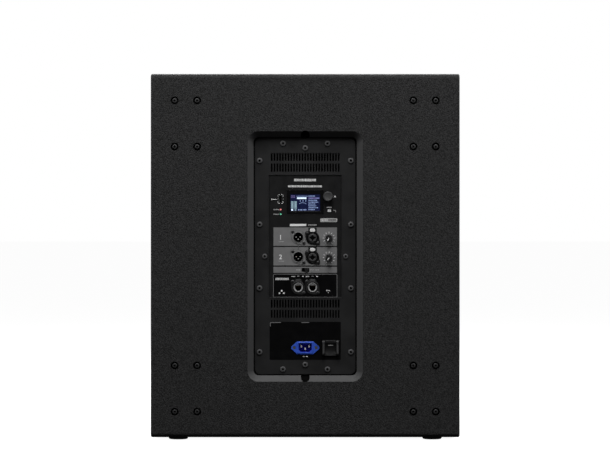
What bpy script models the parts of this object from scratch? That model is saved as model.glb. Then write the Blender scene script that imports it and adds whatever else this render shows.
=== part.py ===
"""Powered subwoofer cabinet: 18 inch woofer, slot port and a rear amplifier module.

Constants are in millimetres. +Z is up, the grille faces -Y and the amplifier panel faces +Y.
The origin is under the middle of the cabinet, on the surface that its feet stand on.
On the amplifier panel, places are (u, v): u runs to the viewer's right from behind (-X),
and v runs up from the middle of the recess.
"""
import math

import bmesh
import bpy
from mathutils import Matrix, Vector

MM = 0.001
GAP = 0.3

# Cabinet
WIDTH = 565.0
DEPTH = 720.0
FOOT_HEIGHT = 6.0
HEIGHT = 671.0
BOARD = 18.0
EDGE_RADIUS = 2.5
FOOT_RADIUS = 18.0
FOOT_X = 234.0
FOOT_Y = 312.0
PORT_HEIGHT = 95.0
SHELF_BACK = 120.0
BRACE_Y = -61.0

SIDE = WIDTH / 2
FRONT = -DEPTH / 2
BACK = DEPTH / 2
INSIDE_X = SIDE - BOARD
FLOOR_Z = FOOT_HEIGHT + BOARD
CEILING_Z = HEIGHT - BOARD
SHELF_Z = FLOOR_Z + PORT_HEIGHT
SHELF_TOP = SHELF_Z + BOARD

# Castor fixings on the rear board
CASTOR_X = 218.2
CASTOR_Z_UPPER = 580.0
CASTOR_Z_LOWER = 95.4
CASTOR_PITCH_X = 41.0
CASTOR_PITCH_Z = 84.3
CASTOR_BORE_RADIUS = 7.35
CASTOR_BORE_DEPTH = 6.0

# Handles and pole socket
HANDLE_Y = 60.0
HANDLE_Z = (235.0, 505.0)
HANDLE_FLANGE = (200.0, 120.0, 3.0)
HANDLE_CUP = (176.0, 96.0, 60.0)
HANDLE_WALL = 3.0
HANDLE_BAR_RADIUS = 10.0
POLE_BORE_RADIUS = 18.0
POLE_WALL = 3.0
POLE_FLANGE_RADIUS = 45.0
POLE_DEPTH = 108.0
FLANGE_THICKNESS = 3.0

# Amplifier recess and panels
AMP_Z = 337.1
RECESS = (210.5, 457.9)
RECESS_RADIUS = 20.0
RECESS_DEPTH = 16.0
RECESS_SLOPE_WIDTH = 10.8
PANEL = (183.6, 432.6)
PANEL_RADIUS = 9.5
PANEL_THICKNESS = 2.0
PANEL_FRONT = BACK - RECESS_DEPTH
PANEL_REAR = PANEL_FRONT - PANEL_THICKNESS
NOTCH_REACH = (200.0, 230.0)
NOTCH_RADIUS = 8.0
MOUNT_FRAME = (224.0, 472.0)
MOUNT_WINDOW = (154.0, 381.0)
ENCLOSURE = (151.0, 379.0)
ENCLOSURE_WALL = 1.5
ENCLOSURE_FRONT_Y = 232.0
CONTROL = (132.0, 222.7)
CONTROL_V = 36.65
CONTROL_FRONT = PANEL_FRONT - 1.0
CONTROL_REAR = CONTROL_FRONT - 1.5
VENT_PITCH = 5.12
VENT_WIDTH = 2.6
VENT_COUNT = 25
VENT_ROWS = ((174.6, 189.8), (154.8, 170.3), (-94.5, -79.3), (-113.2, -98.0))

# Things on the control panel, as (u, v)
DISPLAY = (0.0, 98.9)
DISPLAY_SIZE = (67.2, 43.3)
ENCODER = (41.6, 109.7)
ENCODER_RADIUS = 8.75
SHAFT_RADIUS = 3.0
HOME_BUTTON = (44.2, 83.5)
HOME_SIZE = (6.4, 4.7)
USB = (-45.3, 105.0)
USB_SIZE = (5.6, 13.1)
OUTPUTS = ((-12.8, 34.7), (-12.8, -1.2))
INPUTS = ((13.4, 34.0), (13.4, -1.6))
NETWORKS = ((-12.8, -57.1), (13.4, -57.1))
LEVELS = ((43.6, 33.4), (43.6, -2.5))
LEVEL_RADIUS = 6.75
MODE_SLOT = (0.3, -24.95)
MODE_SLOT_SIZE = (13.8, 7.1)
MODE_SLIDER = (2.05, -24.95)
MODE_SLIDER_SIZE = (5.9, 6.4)
INPUT_LATCH_V = 13.9
INPUT_LATCH_SIZE = (10.0, 6.4)
INPUT_HOUSING = (14.6, 18.0)
NETWORK_LATCH_V = 13.3
NETWORK_LATCH_SIZE = (10.0, 3.6)
NETWORK_HOUSING = (14.6, 16.4)
SOCKET_RADIUS = 11.7
NETWORK_RADIUS = 12.0
SOCKET_FRONT = CONTROL_FRONT + 0.2
SOCKET_REAR = 312.0
SOCKET_FLANGE_WIDTH = 25.6
LATCH_REAR = 336.0
LATCH_FRONT = CONTROL_FRONT + 1.7
LATCH_HOLE_REAR = 333.9
HOME_REAR = 338.0
SLIDER_REAR = 340.0
USB_REAR = 322.0
USB_WALL = 0.45

# Boards inside the amplifier
BOARD_THICKNESS = 1.6
INPUT_BOARD = (128.0, 218.0)
INPUT_BOARD_Y = 305.0
AMP_BOARD = (132.0, 248.0)
AMP_BOARD_V = 26.0
AMP_BOARD_Y = 272.0
HEAT_SINK = (120.0, 248.0)
SINK_FRONT_Y = 238.0
DISPLAY_MODULE = (70.0, 46.0)

# Mains
INLET = (0.0, -167.7)
INLET_FLANGE = (51.5, 23.4)
INLET_BODY = (27.2, 19.6)
INLET_CAVITY = (24.4, 16.4)
INLET_SCREW = 20.0
SWITCH = (46.4, -167.8)
SWITCH_FLANGE = (30.8, 28.5)
SWITCH_BODY = (27.0, 25.0)
SWITCH_WINDOW = (20.4, 23.6)
ROCKER_WIDTH = 19.8
ROCKER_RADIUS = 11.4
ROCKER_TILT = 8.0
GUARD_FRONT = 353.0

# Woofer, in heights forward of y = 0
WOOFER_Z = (SHELF_TOP + CEILING_Z) / 2
BAFFLE_FRONT = -315.0
BAFFLE_HOLE_RADIUS = 216.0
WINDOW_COUNT = 12
WINDOW_WIDTH = 50.0
ROLL_RADIUS = 202.0
ROLL_HALF_WIDTH = 16.0

# Fan
FAN_Y = 270.0
FAN_V = -115.0
FAN_SIZE = 60.0
FAN_DEPTH = 20.0
FAN_BORE = 28.0
FAN_HUB = 11.0
BLADE_COUNT = 7

COLOURS = {
    "coating": ((0.030, 0.030, 0.031), 0.75, 0.0),
    "plywood": ((0.42, 0.28, 0.15), 0.7, 0.0),
    "rubber": ((0.015, 0.015, 0.015), 0.8, 0.0),
    "cast_handle": ((0.02, 0.02, 0.02), 0.5, 0.6),
    "grille_steel": ((0.02, 0.02, 0.02), 0.5, 0.8),
    "foam": ((0.01, 0.01, 0.01), 0.95, 0.0),
    "cast_basket": ((0.05, 0.05, 0.05), 0.5, 0.8),
    "surround": ((0.02, 0.02, 0.02), 0.9, 0.0),
    "cone": ((0.03, 0.03, 0.03), 0.8, 0.0),
    "coil": ((0.50, 0.25, 0.10), 0.4, 0.8),
    "spider": ((0.45, 0.30, 0.12), 0.9, 0.0),
    "magnet_steel": ((0.25, 0.25, 0.27), 0.4, 0.9),
    "magnet_ferrite": ((0.06, 0.06, 0.07), 0.6, 0.2),
    "panel_paint": ((0.022, 0.022, 0.022), 0.5, 0.4),
    "aluminium": ((0.60, 0.61, 0.62), 0.4, 0.9),
    "board_green": ((0.02, 0.13, 0.05), 0.5, 0.0),
    "black_plastic": ((0.012, 0.012, 0.012), 0.45, 0.0),
    "grey_plastic": ((0.06, 0.06, 0.06), 0.5, 0.0),
    "window": ((0.01, 0.02, 0.06), 0.15, 0.0),
    "blue_plastic": ((0.02, 0.07, 0.36), 0.4, 0.0),
    "latch_metal": ((0.55, 0.55, 0.56), 0.35, 0.9),
    "cable": ((0.3, 0.02, 0.02), 0.5, 0.0),
}

PARTS = bpy.data.collections.new("powered_subwoofer")
CUTTERS = bpy.data.collections.new("cutters")
MATERIALS = {}


# ---------------------------------------------------------------- helpers
def clear_scene():
    for obj in list(bpy.data.objects):
        bpy.data.objects.remove(obj, do_unlink=True)


def make_materials():
    for name, (colour, roughness, metallic) in COLOURS.items():
        material = bpy.data.materials.new(name)
        material.use_nodes = True
        shader = material.node_tree.nodes["Principled BSDF"]
        shader.inputs["Base Color"].default_value = (*colour, 1.0)
        shader.inputs["Roughness"].default_value = roughness
        shader.inputs["Metallic"].default_value = metallic
        material.diffuse_color = (*colour, 1.0)
        MATERIALS[name] = material


def place(name, bm, material=None):
    """Make an object from a bmesh: a part if it has a material, else a cutter."""
    bmesh.ops.recalc_face_normals(bm, faces=bm.faces)
    mesh = bpy.data.meshes.new(name)
    bm.to_mesh(mesh)
    bm.free()
    return place_mesh(name, mesh, material)


def place_mesh(name, mesh, material):
    obj = bpy.data.objects.new(name, mesh)
    if material is None:
        CUTTERS.objects.link(obj)
        obj.hide_render = True
        obj.display_type = "WIRE"
    else:
        PARTS.objects.link(obj)
        mesh.materials.clear()
        mesh.materials.append(MATERIALS[material])
    return obj


def add_block(bm, low, high, radius=0.0, axis=1, steps=4):
    """A box between two corners, with the four edges along one axis rounded."""
    low = Vector(low)
    high = Vector(high)
    matrix = Matrix.Translation((low + high) / 2 * MM) @ Matrix.Diagonal((*((high - low) * MM), 1.0))
    verts = bmesh.ops.create_cube(bm, size=1.0, matrix=matrix)["verts"]
    if radius > 0.0:
        edges = {edge for vert in verts for edge in vert.link_edges}
        along = [edge for edge in edges if abs((edge.verts[0].co - edge.verts[1].co)[axis]) > 1e-6]
        along = sorted(along, key=lambda edge: edge.index)
        bmesh.ops.bevel(bm, geom=along, offset=radius * MM, segments=steps, profile=0.5, affect="EDGES")


def add_cylinder(bm, centre, radius, low, high, steps=24, axis=1):
    """A cylinder along one axis, from low to high; centre gives the other two coordinates."""
    turn = {0: Matrix.Rotation(math.pi / 2, 4, "Y"), 1: Matrix.Rotation(-math.pi / 2, 4, "X"), 2: Matrix()}
    middle = list(centre)
    middle.insert(axis, (low + high) / 2)
    matrix = Matrix.Translation(Vector(middle) * MM) @ turn[axis]
    bmesh.ops.create_cone(
        bm, cap_ends=True, segments=steps, radius1=radius * MM, radius2=radius * MM,
        depth=(high - low) * MM, matrix=matrix,
    )


def block(name, low, high, material=None, radius=0.0, axis=1, steps=4):
    bm = bmesh.new()
    add_block(bm, low, high, radius, axis, steps)
    return place(name, bm, material)


def cylinder(name, centre, radius, low, high, material=None, steps=24, axis=1):
    bm = bmesh.new()
    add_cylinder(bm, centre, radius, low, high, steps, axis)
    return place(name, bm, material)


def boolean(target, other, operation="DIFFERENCE"):
    modifier = target.modifiers.new(operation.lower(), "BOOLEAN")
    modifier.operation = operation
    modifier.solver = "EXACT"
    modifier.object = other


def turned(name, profile, material, origin=(0.0, 0.0, 0.0), facing="Z", steps=32, closed=False):
    """Turn a (radius, height) profile about an axis through origin.

    The profile runs down its outer side. Heights grow along +Z, or towards -Y or +Y.
    """
    bm = bmesh.new()
    verts = [bm.verts.new((radius * MM, 0.0, height * MM)) for radius, height in profile]
    for first, second in zip(verts, verts[1:]):
        bm.edges.new((first, second))
    if closed:
        bm.edges.new((verts[-1], verts[0]))
    mesh = bpy.data.meshes.new(name + "_profile")
    bm.to_mesh(mesh)
    bm.free()
    profile_object = bpy.data.objects.new(name + "_profile", mesh)
    CUTTERS.objects.link(profile_object)
    screw = profile_object.modifiers.new("turn", "SCREW")
    screw.steps = steps
    screw.render_steps = steps
    screw.use_merge_vertices = True
    screw.merge_threshold = 0.00001
    turns = {"Z": Matrix(), "-Y": Matrix.Rotation(math.pi / 2, 4, "X"),
             "+Y": Matrix.Rotation(-math.pi / 2, 4, "X")}
    bpy.context.view_layer.update()
    evaluated = profile_object.evaluated_get(bpy.context.evaluated_depsgraph_get())
    solid = bpy.data.meshes.new_from_object(evaluated)
    bpy.data.objects.remove(profile_object, do_unlink=True)
    solid.name = name
    solid.transform(Matrix.Translation(Vector(origin) * MM) @ turns[facing])
    solid.shade_smooth()
    solid.set_sharp_from_angle(angle=math.radians(35))
    return place_mesh(name, solid, material)


def set_origin(obj, point):
    """Move an object's origin to a world point without moving its shape."""
    offset = Vector(point) * MM
    obj.data.transform(Matrix.Translation(-offset))
    obj.location = offset


def on_panel(u, v):
    """World (x, z) of a place on the amplifier panel."""
    return -u, AMP_Z + v


def panel_box(u, v, width, height, low_y, high_y):
    """Corners of a box centred on a place on the amplifier panel."""
    x, z = on_panel(u, v)
    return (x - width / 2, low_y, z - height / 2), (x + width / 2, high_y, z + height / 2)


# ---------------------------------------------------------------- cabinet
def make_boards():
    x = INSIDE_X - GAP
    low = FLOOR_Z + GAP
    high = CEILING_Z - GAP
    top = block("top_panel", (-SIDE, FRONT, CEILING_Z), (SIDE, BACK, HEIGHT), "coating")
    bottom = block("bottom_panel", (-SIDE, FRONT, FOOT_HEIGHT), (SIDE, BACK, FLOOR_Z), "coating")
    for board, edge_z in ((top, HEIGHT), (bottom, FOOT_HEIGHT)):
        round_outer_edges(board, 2, edge_z)
    for name, sign in (("side_panel_left", -1), ("side_panel_right", 1)):
        outer = sign * SIDE
        inner = sign * INSIDE_X
        corners = (min(outer, inner), FRONT, low), (max(outer, inner), BACK, high)
        side = block(name, *corners, "coating")
        round_outer_edges(side, 0, outer)
        for index, z in enumerate(HANDLE_Z):
            for cutter in handle_cutters(sign, z, f"{name}_{index}"):
                boolean(side, cutter)
    boolean(top, cylinder("pole_hole", (0.0, 0.0), POLE_BORE_RADIUS + POLE_WALL + GAP,
                          CEILING_Z - 5, HEIGHT + 5, steps=32, axis=2))
    boolean(top, cylinder("pole_rebate", (0.0, 0.0), POLE_FLANGE_RADIUS + GAP,
                          HEIGHT - FLANGE_THICKNESS - GAP, HEIGHT + 5, steps=32, axis=2))
    baffle = block("front_baffle", (-x, BAFFLE_FRONT, SHELF_TOP + GAP), (x, BAFFLE_FRONT + BOARD, high),
                   "coating")
    boolean(baffle, cylinder("woofer_hole", (0.0, WOOFER_Z), BAFFLE_HOLE_RADIUS,
                             BAFFLE_FRONT - 5, BAFFLE_FRONT + BOARD + 5, steps=40))
    block("port_shelf", (-x, BAFFLE_FRONT, SHELF_Z), (x, SHELF_BACK, SHELF_TOP), "plywood")
    make_brace(x, SHELF_TOP + GAP, high)


def round_outer_edges(board, axis, level):
    """Round the four edges of a board's outer face."""
    bm = bmesh.new()
    bm.from_mesh(board.data)
    edges = [edge for edge in bm.edges if all(abs(v.co[axis] - level * MM) < 1e-6 for v in edge.verts)]
    bmesh.ops.bevel(bm, geom=edges, offset=EDGE_RADIUS * MM, segments=2, profile=0.5, affect="EDGES")
    bm.to_mesh(board.data)
    bm.free()


def make_brace(x, low, high):
    brace = block("window_brace", (-x, BRACE_Y - BOARD / 2, low), (x, BRACE_Y + BOARD / 2, high), "plywood")
    bm = bmesh.new()
    rib = 30.0
    rim = 45.0
    for sign in (-1, 1):
        inner, outer = sorted((sign * rib, sign * (x - rim)))
        add_block(bm, (inner, BRACE_Y - BOARD, low + rim), (outer, BRACE_Y + BOARD, high - rim), 40.0)
    boolean(brace, place("brace_windows", bm))


def make_rear_panel():
    x = INSIDE_X - GAP
    panel = block("rear_panel", (-x, BACK - BOARD, FLOOR_Z + GAP), (x, BACK, CEILING_Z - GAP), "coating")
    floor_size = (RECESS[0] - 2 * RECESS_SLOPE_WIDTH, RECESS[1] - 2 * RECESS_SLOPE_WIDTH)
    floor_radius = RECESS_RADIUS - RECESS_SLOPE_WIDTH
    boolean(panel, block("recess_window", *panel_box(0, 0, *floor_size, BACK - BOARD - 5, PANEL_FRONT + 0.5),
                         radius=floor_radius))
    slope = RECESS_SLOPE_WIDTH / RECESS_DEPTH
    overshoot = 1.0
    wide = (RECESS[0] + 2 * slope * overshoot, RECESS[1] + 2 * slope * overshoot)
    ledge = (floor_size[0] + 2 * GAP, floor_size[1] + 2 * GAP)
    boolean(panel, tapered_block("recess_slope", ledge, wide, floor_radius + GAP, RECESS_RADIUS,
                                 PANEL_FRONT, BACK + overshoot))
    boolean(panel, notch_cutter())
    bm = bmesh.new()
    for middle_z in (CASTOR_Z_LOWER, CASTOR_Z_UPPER):
        for side in (-1, 1):
            for across in (-1, 1):
                for up in (-1, 1):
                    centre = (side * CASTOR_X + across * CASTOR_PITCH_X / 2,
                              middle_z + up * CASTOR_PITCH_Z / 2)
                    add_cylinder(bm, centre, CASTOR_BORE_RADIUS, BACK - CASTOR_BORE_DEPTH, BACK + 2, 12)
    boolean(panel, place("castor_bores", bm))


def tapered_block(name, low_size, high_size, low_radius, high_radius, low_y, high_y):
    """A block on the panel's middle that widens from its low_y face to its high_y face."""
    bm = bmesh.new()
    steps = 4
    add_block(bm, *panel_box(0, 0, *high_size, low_y, high_y), high_radius, steps=steps)
    half = Vector((low_size[0] / 2 - low_radius, low_size[1] / 2 - low_radius)) * MM
    wide_half = Vector((high_size[0] / 2 - high_radius, high_size[1] / 2 - high_radius)) * MM
    ratio = low_radius / high_radius
    centre_z = AMP_Z * MM
    for vert in bm.verts:
        if abs(vert.co.y - low_y * MM) < 1e-6:
            side_x = math.copysign(1.0, vert.co.x)
            side_z = math.copysign(1.0, vert.co.z - centre_z)
            from_corner = Vector((abs(vert.co.x), abs(vert.co.z - centre_z))) - wide_half
            vert.co.x = side_x * (half.x + from_corner.x * ratio)
            vert.co.z = centre_z + side_z * (half.y + from_corner.y * ratio)
    return place(name, bm)


def notch_cutter():
    """The round-ended finger notches in the recess wall, above and below the amplifier panel."""
    bm = bmesh.new()
    inner, outer = NOTCH_REACH
    for sign in (-1, 1):
        add_block(bm, *panel_box(0, sign * (inner + outer) / 2, 2 * NOTCH_RADIUS, outer - inner,
                                 BACK - BOARD - 5, BACK + 5), NOTCH_RADIUS - 0.01, steps=8)
    return place("recess_notches", bm)


def make_mount_frame():
    outside = panel_box(0, 0, *MOUNT_FRAME, BACK - 2 * BOARD, PANEL_REAR - GAP)
    window = panel_box(0, 0, *MOUNT_WINDOW, BACK - 3 * BOARD, BACK)
    frame = block("amp_mount_frame", *outside, "coating", radius=12.0)
    boolean(frame, block("mount_window", *window, radius=4.0))


def make_feet():
    profile = [(0, FOOT_HEIGHT - GAP), (FOOT_RADIUS, FOOT_HEIGHT - GAP), (FOOT_RADIUS, 2.5),
               (FOOT_RADIUS - 0.8, 0.8), (FOOT_RADIUS - 2.5, 0), (0, 0)]
    for end, y in (("front", -FOOT_Y), ("rear", FOOT_Y)):
        for side, x in (("left", -FOOT_X), ("right", FOOT_X)):
            turned(f"foot_{end}_{side}", profile, "rubber", (x, y, 0.0), steps=16)


# ---------------------------------------------------------------- handles and pole socket
def side_box(sign, z, length, height, inner, outer):
    """Corners of a box on one side board, measured inward from its outer face."""
    ends = sorted((sign * (SIDE - inner), sign * (SIDE - outer)))
    return (ends[0], HANDLE_Y - length / 2, z - height / 2), (ends[1], HANDLE_Y + length / 2, z + height / 2)


def handle_cutters(sign, z, label):
    slack = 2 * GAP
    length, height, thickness = HANDLE_FLANGE
    rebate = block(f"rebate_{label}",
                   *side_box(sign, z, length + slack, height + slack, thickness + GAP, -5),
                   radius=14.0, axis=0)
    length, height, _ = HANDLE_CUP
    hole = block(f"hole_{label}", *side_box(sign, z, length + slack, height + slack, BOARD + 5, -5),
                 radius=16.0, axis=0)
    return rebate, hole


def make_handle(name, sign, z):
    handle = block(name, *side_box(sign, z, *HANDLE_FLANGE, 0), "cast_handle", radius=14.0, axis=0)
    length, height, depth = HANDLE_CUP
    cup = block(f"{name}_cup", *side_box(sign, z, length, height, depth, 1.0), radius=16.0, axis=0)
    inside = side_box(sign, z, length - 2 * HANDLE_WALL, height - 2 * HANDLE_WALL, depth - HANDLE_WALL, -5)
    hollow = block(f"{name}_hollow", *inside, radius=13.0, axis=0)
    bar_x = sign * (SIDE - HANDLE_BAR_RADIUS - 2.0)
    bm = bmesh.new()
    matrix = Matrix.Translation(Vector((bar_x, HANDLE_Y, z)) * MM) @ Matrix.Rotation(math.pi / 2, 4, "X")
    bmesh.ops.create_cone(bm, cap_ends=True, segments=16, radius1=HANDLE_BAR_RADIUS * MM,
                          radius2=HANDLE_BAR_RADIUS * MM, depth=(length - 2.0) * MM, matrix=matrix)
    bar = place(f"{name}_bar", bm)
    boolean(handle, cup, "UNION")
    boolean(handle, hollow)
    boolean(handle, bar, "UNION")


def make_handles():
    for side, sign in (("left", -1), ("right", 1)):
        for level, z in zip(("lower", "upper"), HANDLE_Z):
            make_handle(f"handle_{side}_{level}", sign, z)


def make_pole_socket():
    outer = POLE_BORE_RADIUS + POLE_WALL
    bottom = HEIGHT - POLE_DEPTH - POLE_WALL
    profile = [(0, bottom + POLE_WALL), (POLE_BORE_RADIUS, bottom + POLE_WALL), (POLE_BORE_RADIUS, HEIGHT),
               (POLE_FLANGE_RADIUS, HEIGHT), (POLE_FLANGE_RADIUS, HEIGHT - FLANGE_THICKNESS),
               (outer, HEIGHT - FLANGE_THICKNESS), (outer, bottom), (0, bottom)]
    turned("pole_socket_top", profile, "cast_handle", steps=24)


# ---------------------------------------------------------------- grille
def make_grille():
    sheet = 1.6
    front = FRONT + 2.0
    x = INSIDE_X - 2.0
    low = FLOOR_Z + 2.0
    high = CEILING_Z - 2.0
    rim = 18.0
    tray = block("front_grille", (-x, front, low), (x, front + rim, high), "grille_steel", radius=6.0)
    boolean(tray, block("grille_hollow", (-x + sheet, front + sheet, low + sheet),
                        (x - sheet, front + rim + 5, high - sheet), radius=4.4))
    inset = sheet + 2.5
    block("grille_foam", (-x + inset, front + sheet + GAP, low + inset),
          (x - inset, front + sheet + GAP + 8.0, high - inset), "foam", radius=4.0)


# ---------------------------------------------------------------- woofer
def woofer_part(name, profile, material, steps=28, closed=True):
    return turned(name, profile, material, (0.0, 0.0, WOOFER_Z), "-Y", steps, closed)


def make_woofer():
    basket = woofer_part("woofer_basket", [
        (232.5, 325), (232.5, 315.3), (213, 315.3), (213, 296), (122, 196), (122, 190.3), (60, 190.3),
        (60, 194.3), (100, 194.3), (100, 213), (118, 213), (209, 298), (209, 325)], "cast_basket", 36)
    boolean(basket, basket_windows())
    make_surround()
    woofer_part("woofer_cone", [
        (187, 325), (187, 323.6), (177, 323.6), (51.8, 226), (51.8, 228.2), (176.5, 325)], "cone")
    outside = dome(75, 247.5, 268, 4)
    inside = dome(75, 246.9, 266.8, 4)
    cap = [(0, 268)] + outside + inside[::-1] + [(0, 266.8)]
    woofer_part("woofer_dust_cap", cap, "cone", 28, closed=False)
    woofer_part("voice_coil", [
        (51.5, 229), (51.5, 198), (53, 198), (53, 170), (51.5, 170), (51.5, 168), (50, 168),
        (50, 229)], "coil")
    make_spider()
    woofer_part("magnet_top_plate", [(110, 190), (110, 178), (54, 178), (54, 190)], "magnet_steel")
    woofer_part("magnet_ring", [(112, 177.7), (112, 138.3), (60, 138.3), (60, 177.7)], "magnet_ferrite")
    woofer_part("magnet_back_plate", [
        (49, 190), (49, 138), (110, 138), (110, 124), (20, 124), (20, 190)], "magnet_steel")


def dome(radius, edge, crown, steps):
    """Points down a shallow dome, from beside its crown to its edge."""
    angles = [math.pi / 2 * (step + 1) / steps for step in range(steps)]
    return [(radius * math.sin(angle), edge + (crown - edge) * math.cos(angle)) for angle in angles]


def basket_windows():
    bm = bmesh.new()
    for index in range(WINDOW_COUNT):
        angle = 2 * math.pi * (index + 0.5) / WINDOW_COUNT
        turn = Matrix.Translation(Vector((0, 0, WOOFER_Z)) * MM) @ Matrix.Rotation(angle, 4, "Y")
        size = Vector((75.0, 100.0, WINDOW_WIDTH)) * MM
        matrix = turn @ Matrix.Translation(Vector((163.5, -252, 0)) * MM) @ Matrix.Diagonal((*size, 1.0))
        bmesh.ops.create_cube(bm, size=1.0, matrix=matrix)
    return place("basket_windows", bm)


def make_surround():
    """A half-roll of rubber with a flat land on each side."""
    thickness = 1.5
    base = 325.3
    steps = 6
    upper = []
    lower = []
    for step in range(steps + 1):
        angle = math.pi * step / steps
        upper.append((ROLL_RADIUS - ROLL_HALF_WIDTH * math.cos(angle),
                      base + thickness + ROLL_HALF_WIDTH * math.sin(angle)))
        inner_roll = ROLL_HALF_WIDTH - thickness
        lower.append((ROLL_RADIUS + inner_roll * math.cos(angle), base + inner_roll * math.sin(angle)))
    outer_land = 229.0
    inner_land = 178.0
    profile = [(outer_land, base + thickness), (outer_land, base)] + lower
    profile += [(inner_land, base), (inner_land, base + thickness)] + upper
    woofer_part("woofer_surround", profile, "surround", 28)


def make_spider():
    """A corrugated disc between the coil former and the basket's ledge."""
    thickness = 1.0
    base = 213.3
    crests = 3
    steps = 3 * crests
    inner = 58.0
    outer = 98.0
    wave = [(inner + (outer - inner) * step / steps, 2.5 * math.sin(2 * math.pi * crests * step / steps))
            for step in range(steps + 1)]
    lower = [(radius, base + rise) for radius, rise in reversed(wave)]
    upper = [(radius, base + thickness + rise) for radius, rise in wave]
    inner_edge = [(51.8, base), (51.8, base + thickness)]
    profile = [(116, base + thickness), (116, base)] + lower + inner_edge + upper
    woofer_part("woofer_spider", profile, "spider")


# ---------------------------------------------------------------- amplifier module
def make_amp_panel():
    panel = block("amp_panel", *panel_box(0, 0, *PANEL, PANEL_REAR, PANEL_FRONT), "panel_paint",
                  radius=PANEL_RADIUS)
    bm = bmesh.new()
    slack = 2 * GAP
    low_y = PANEL_REAR - 2
    high_y = PANEL_FRONT + 2
    add_block(bm, *panel_box(0, CONTROL_V, CONTROL[0] + slack, CONTROL[1] + slack, low_y, high_y))
    add_block(bm, *panel_box(*INLET, INLET_BODY[0] + slack, INLET_BODY[1] + slack, low_y, high_y))
    add_block(bm, *panel_box(*SWITCH, SWITCH_BODY[0] + slack, SWITCH_BODY[1] + slack, low_y, high_y))
    for low_v, high_v in VENT_ROWS:
        for index in range(VENT_COUNT):
            u = (index - (VENT_COUNT - 1) / 2) * VENT_PITCH
            add_block(bm, *panel_box(u, (low_v + high_v) / 2, VENT_WIDTH, high_v - low_v, low_y, high_y))
    boolean(panel, place("panel_openings", bm))


def make_enclosure():
    rear = PANEL_REAR - GAP
    shell = block("amp_enclosure", *panel_box(0, 0, *ENCLOSURE, ENCLOSURE_FRONT_Y, rear), "panel_paint")
    inside = (ENCLOSURE[0] - 2 * ENCLOSURE_WALL, ENCLOSURE[1] - 2 * ENCLOSURE_WALL)
    hollow = panel_box(0, 0, *inside, ENCLOSURE_FRONT_Y + ENCLOSURE_WALL, rear + 5)
    boolean(shell, block("enclosure_hollow", *hollow))


def make_control_panel():
    panel = block("control_panel", *panel_box(0, CONTROL_V, *CONTROL, CONTROL_REAR, CONTROL_FRONT),
                  "black_plastic")
    low_y = CONTROL_REAR - 2
    high_y = CONTROL_FRONT + 2
    slack = 2 * GAP
    square = bmesh.new()
    round_holes = bmesh.new()
    for place_uv, size in ((DISPLAY, DISPLAY_SIZE), (HOME_BUTTON, HOME_SIZE), (USB, USB_SIZE)):
        add_block(square, *panel_box(*place_uv, size[0] + slack, size[1] + slack, low_y, high_y))
    add_block(square, *panel_box(*MODE_SLOT, *MODE_SLOT_SIZE, low_y, high_y))
    for places, housing in ((INPUTS, INPUT_HOUSING), (NETWORKS, NETWORK_HOUSING)):
        for u, v in places:
            width, top = housing
            add_block(square, *panel_box(u, v + (top + GAP) / 2, width + slack, top + GAP, low_y, high_y))
    for u, v in OUTPUTS + INPUTS:
        add_cylinder(round_holes, on_panel(u, v), SOCKET_RADIUS + GAP, low_y, high_y, 24)
    for u, v in NETWORKS:
        add_cylinder(round_holes, on_panel(u, v), NETWORK_RADIUS + GAP, low_y, high_y, 24)
    for u, v in LEVELS + (ENCODER,):
        add_cylinder(round_holes, on_panel(u, v), SHAFT_RADIUS + 1.0, low_y, high_y, 14)
    boolean(panel, place("control_square_holes", square))
    boolean(panel, place("control_round_holes", round_holes))


def make_electronics():
    front = INPUT_BOARD_Y + BOARD_THICKNESS
    block("input_board", *panel_box(0, CONTROL_V, *INPUT_BOARD, INPUT_BOARD_Y, front), "board_green")
    front = AMP_BOARD_Y + BOARD_THICKNESS
    block("amplifier_board", *panel_box(0, AMP_BOARD_V, *AMP_BOARD, AMP_BOARD_Y, front), "board_green")
    sink_low, sink_high = panel_box(0, AMP_BOARD_V, *HEAT_SINK, SINK_FRONT_Y, AMP_BOARD_Y - 1.0)
    sink = block("heat_sink", sink_low, sink_high, "aluminium")
    bm = bmesh.new()
    fin_gap = 8.0
    fin_pitch = 12.0
    for index in range(-4, 5):
        x = index * fin_pitch
        add_block(bm, (x - fin_gap / 2, sink_low[1] - 5, sink_low[2] - 5),
                  (x + fin_gap / 2, sink_high[1] - 8, sink_high[2] + 5))
    boolean(sink, place("fin_gaps", bm))
    block("display_module", *panel_box(*DISPLAY, *DISPLAY_MODULE, USB_REAR, CONTROL_REAR - 2 * GAP),
          "black_plastic")
    block("display_window", *panel_box(*DISPLAY, *DISPLAY_SIZE, CONTROL_REAR - GAP, CONTROL_FRONT), "window")


def add_latch_housing(socket, name, place_uv, housing, latch_v, latch_size):
    u, v = place_uv
    width, top = housing
    housing_box = panel_box(u, v + top / 2 + 2, width, top - 4, SOCKET_REAR + 8, SOCKET_FRONT)
    body = block(f"{name}_housing", *housing_box)
    slot = (latch_size[0] + 2 * GAP, latch_size[1] + 2 * GAP)
    hole = block(f"{name}_latch_hole", *panel_box(u, v + latch_v, *slot, LATCH_HOLE_REAR, SOCKET_FRONT + 5))
    boolean(socket, body, "UNION")
    return hole


def groove_cutter(name, x, z, inner, outer, depth):
    """A ring groove, depth deep from the front of a socket."""
    profile = [(outer, 5.0), (outer, -depth), (inner, -depth), (inner, 5.0)]
    return turned(name, profile, None, (x, SOCKET_FRONT, z), "+Y", 24, closed=True)


def add_flange(socket, name, u, low_v, high_v):
    rear = CONTROL_REAR - GAP
    flange = block(f"{name}_flange",
                   *panel_box(u, (low_v + high_v) / 2, SOCKET_FLANGE_WIDTH, high_v - low_v, rear - 2, rear))
    boolean(socket, flange, "UNION")


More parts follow.
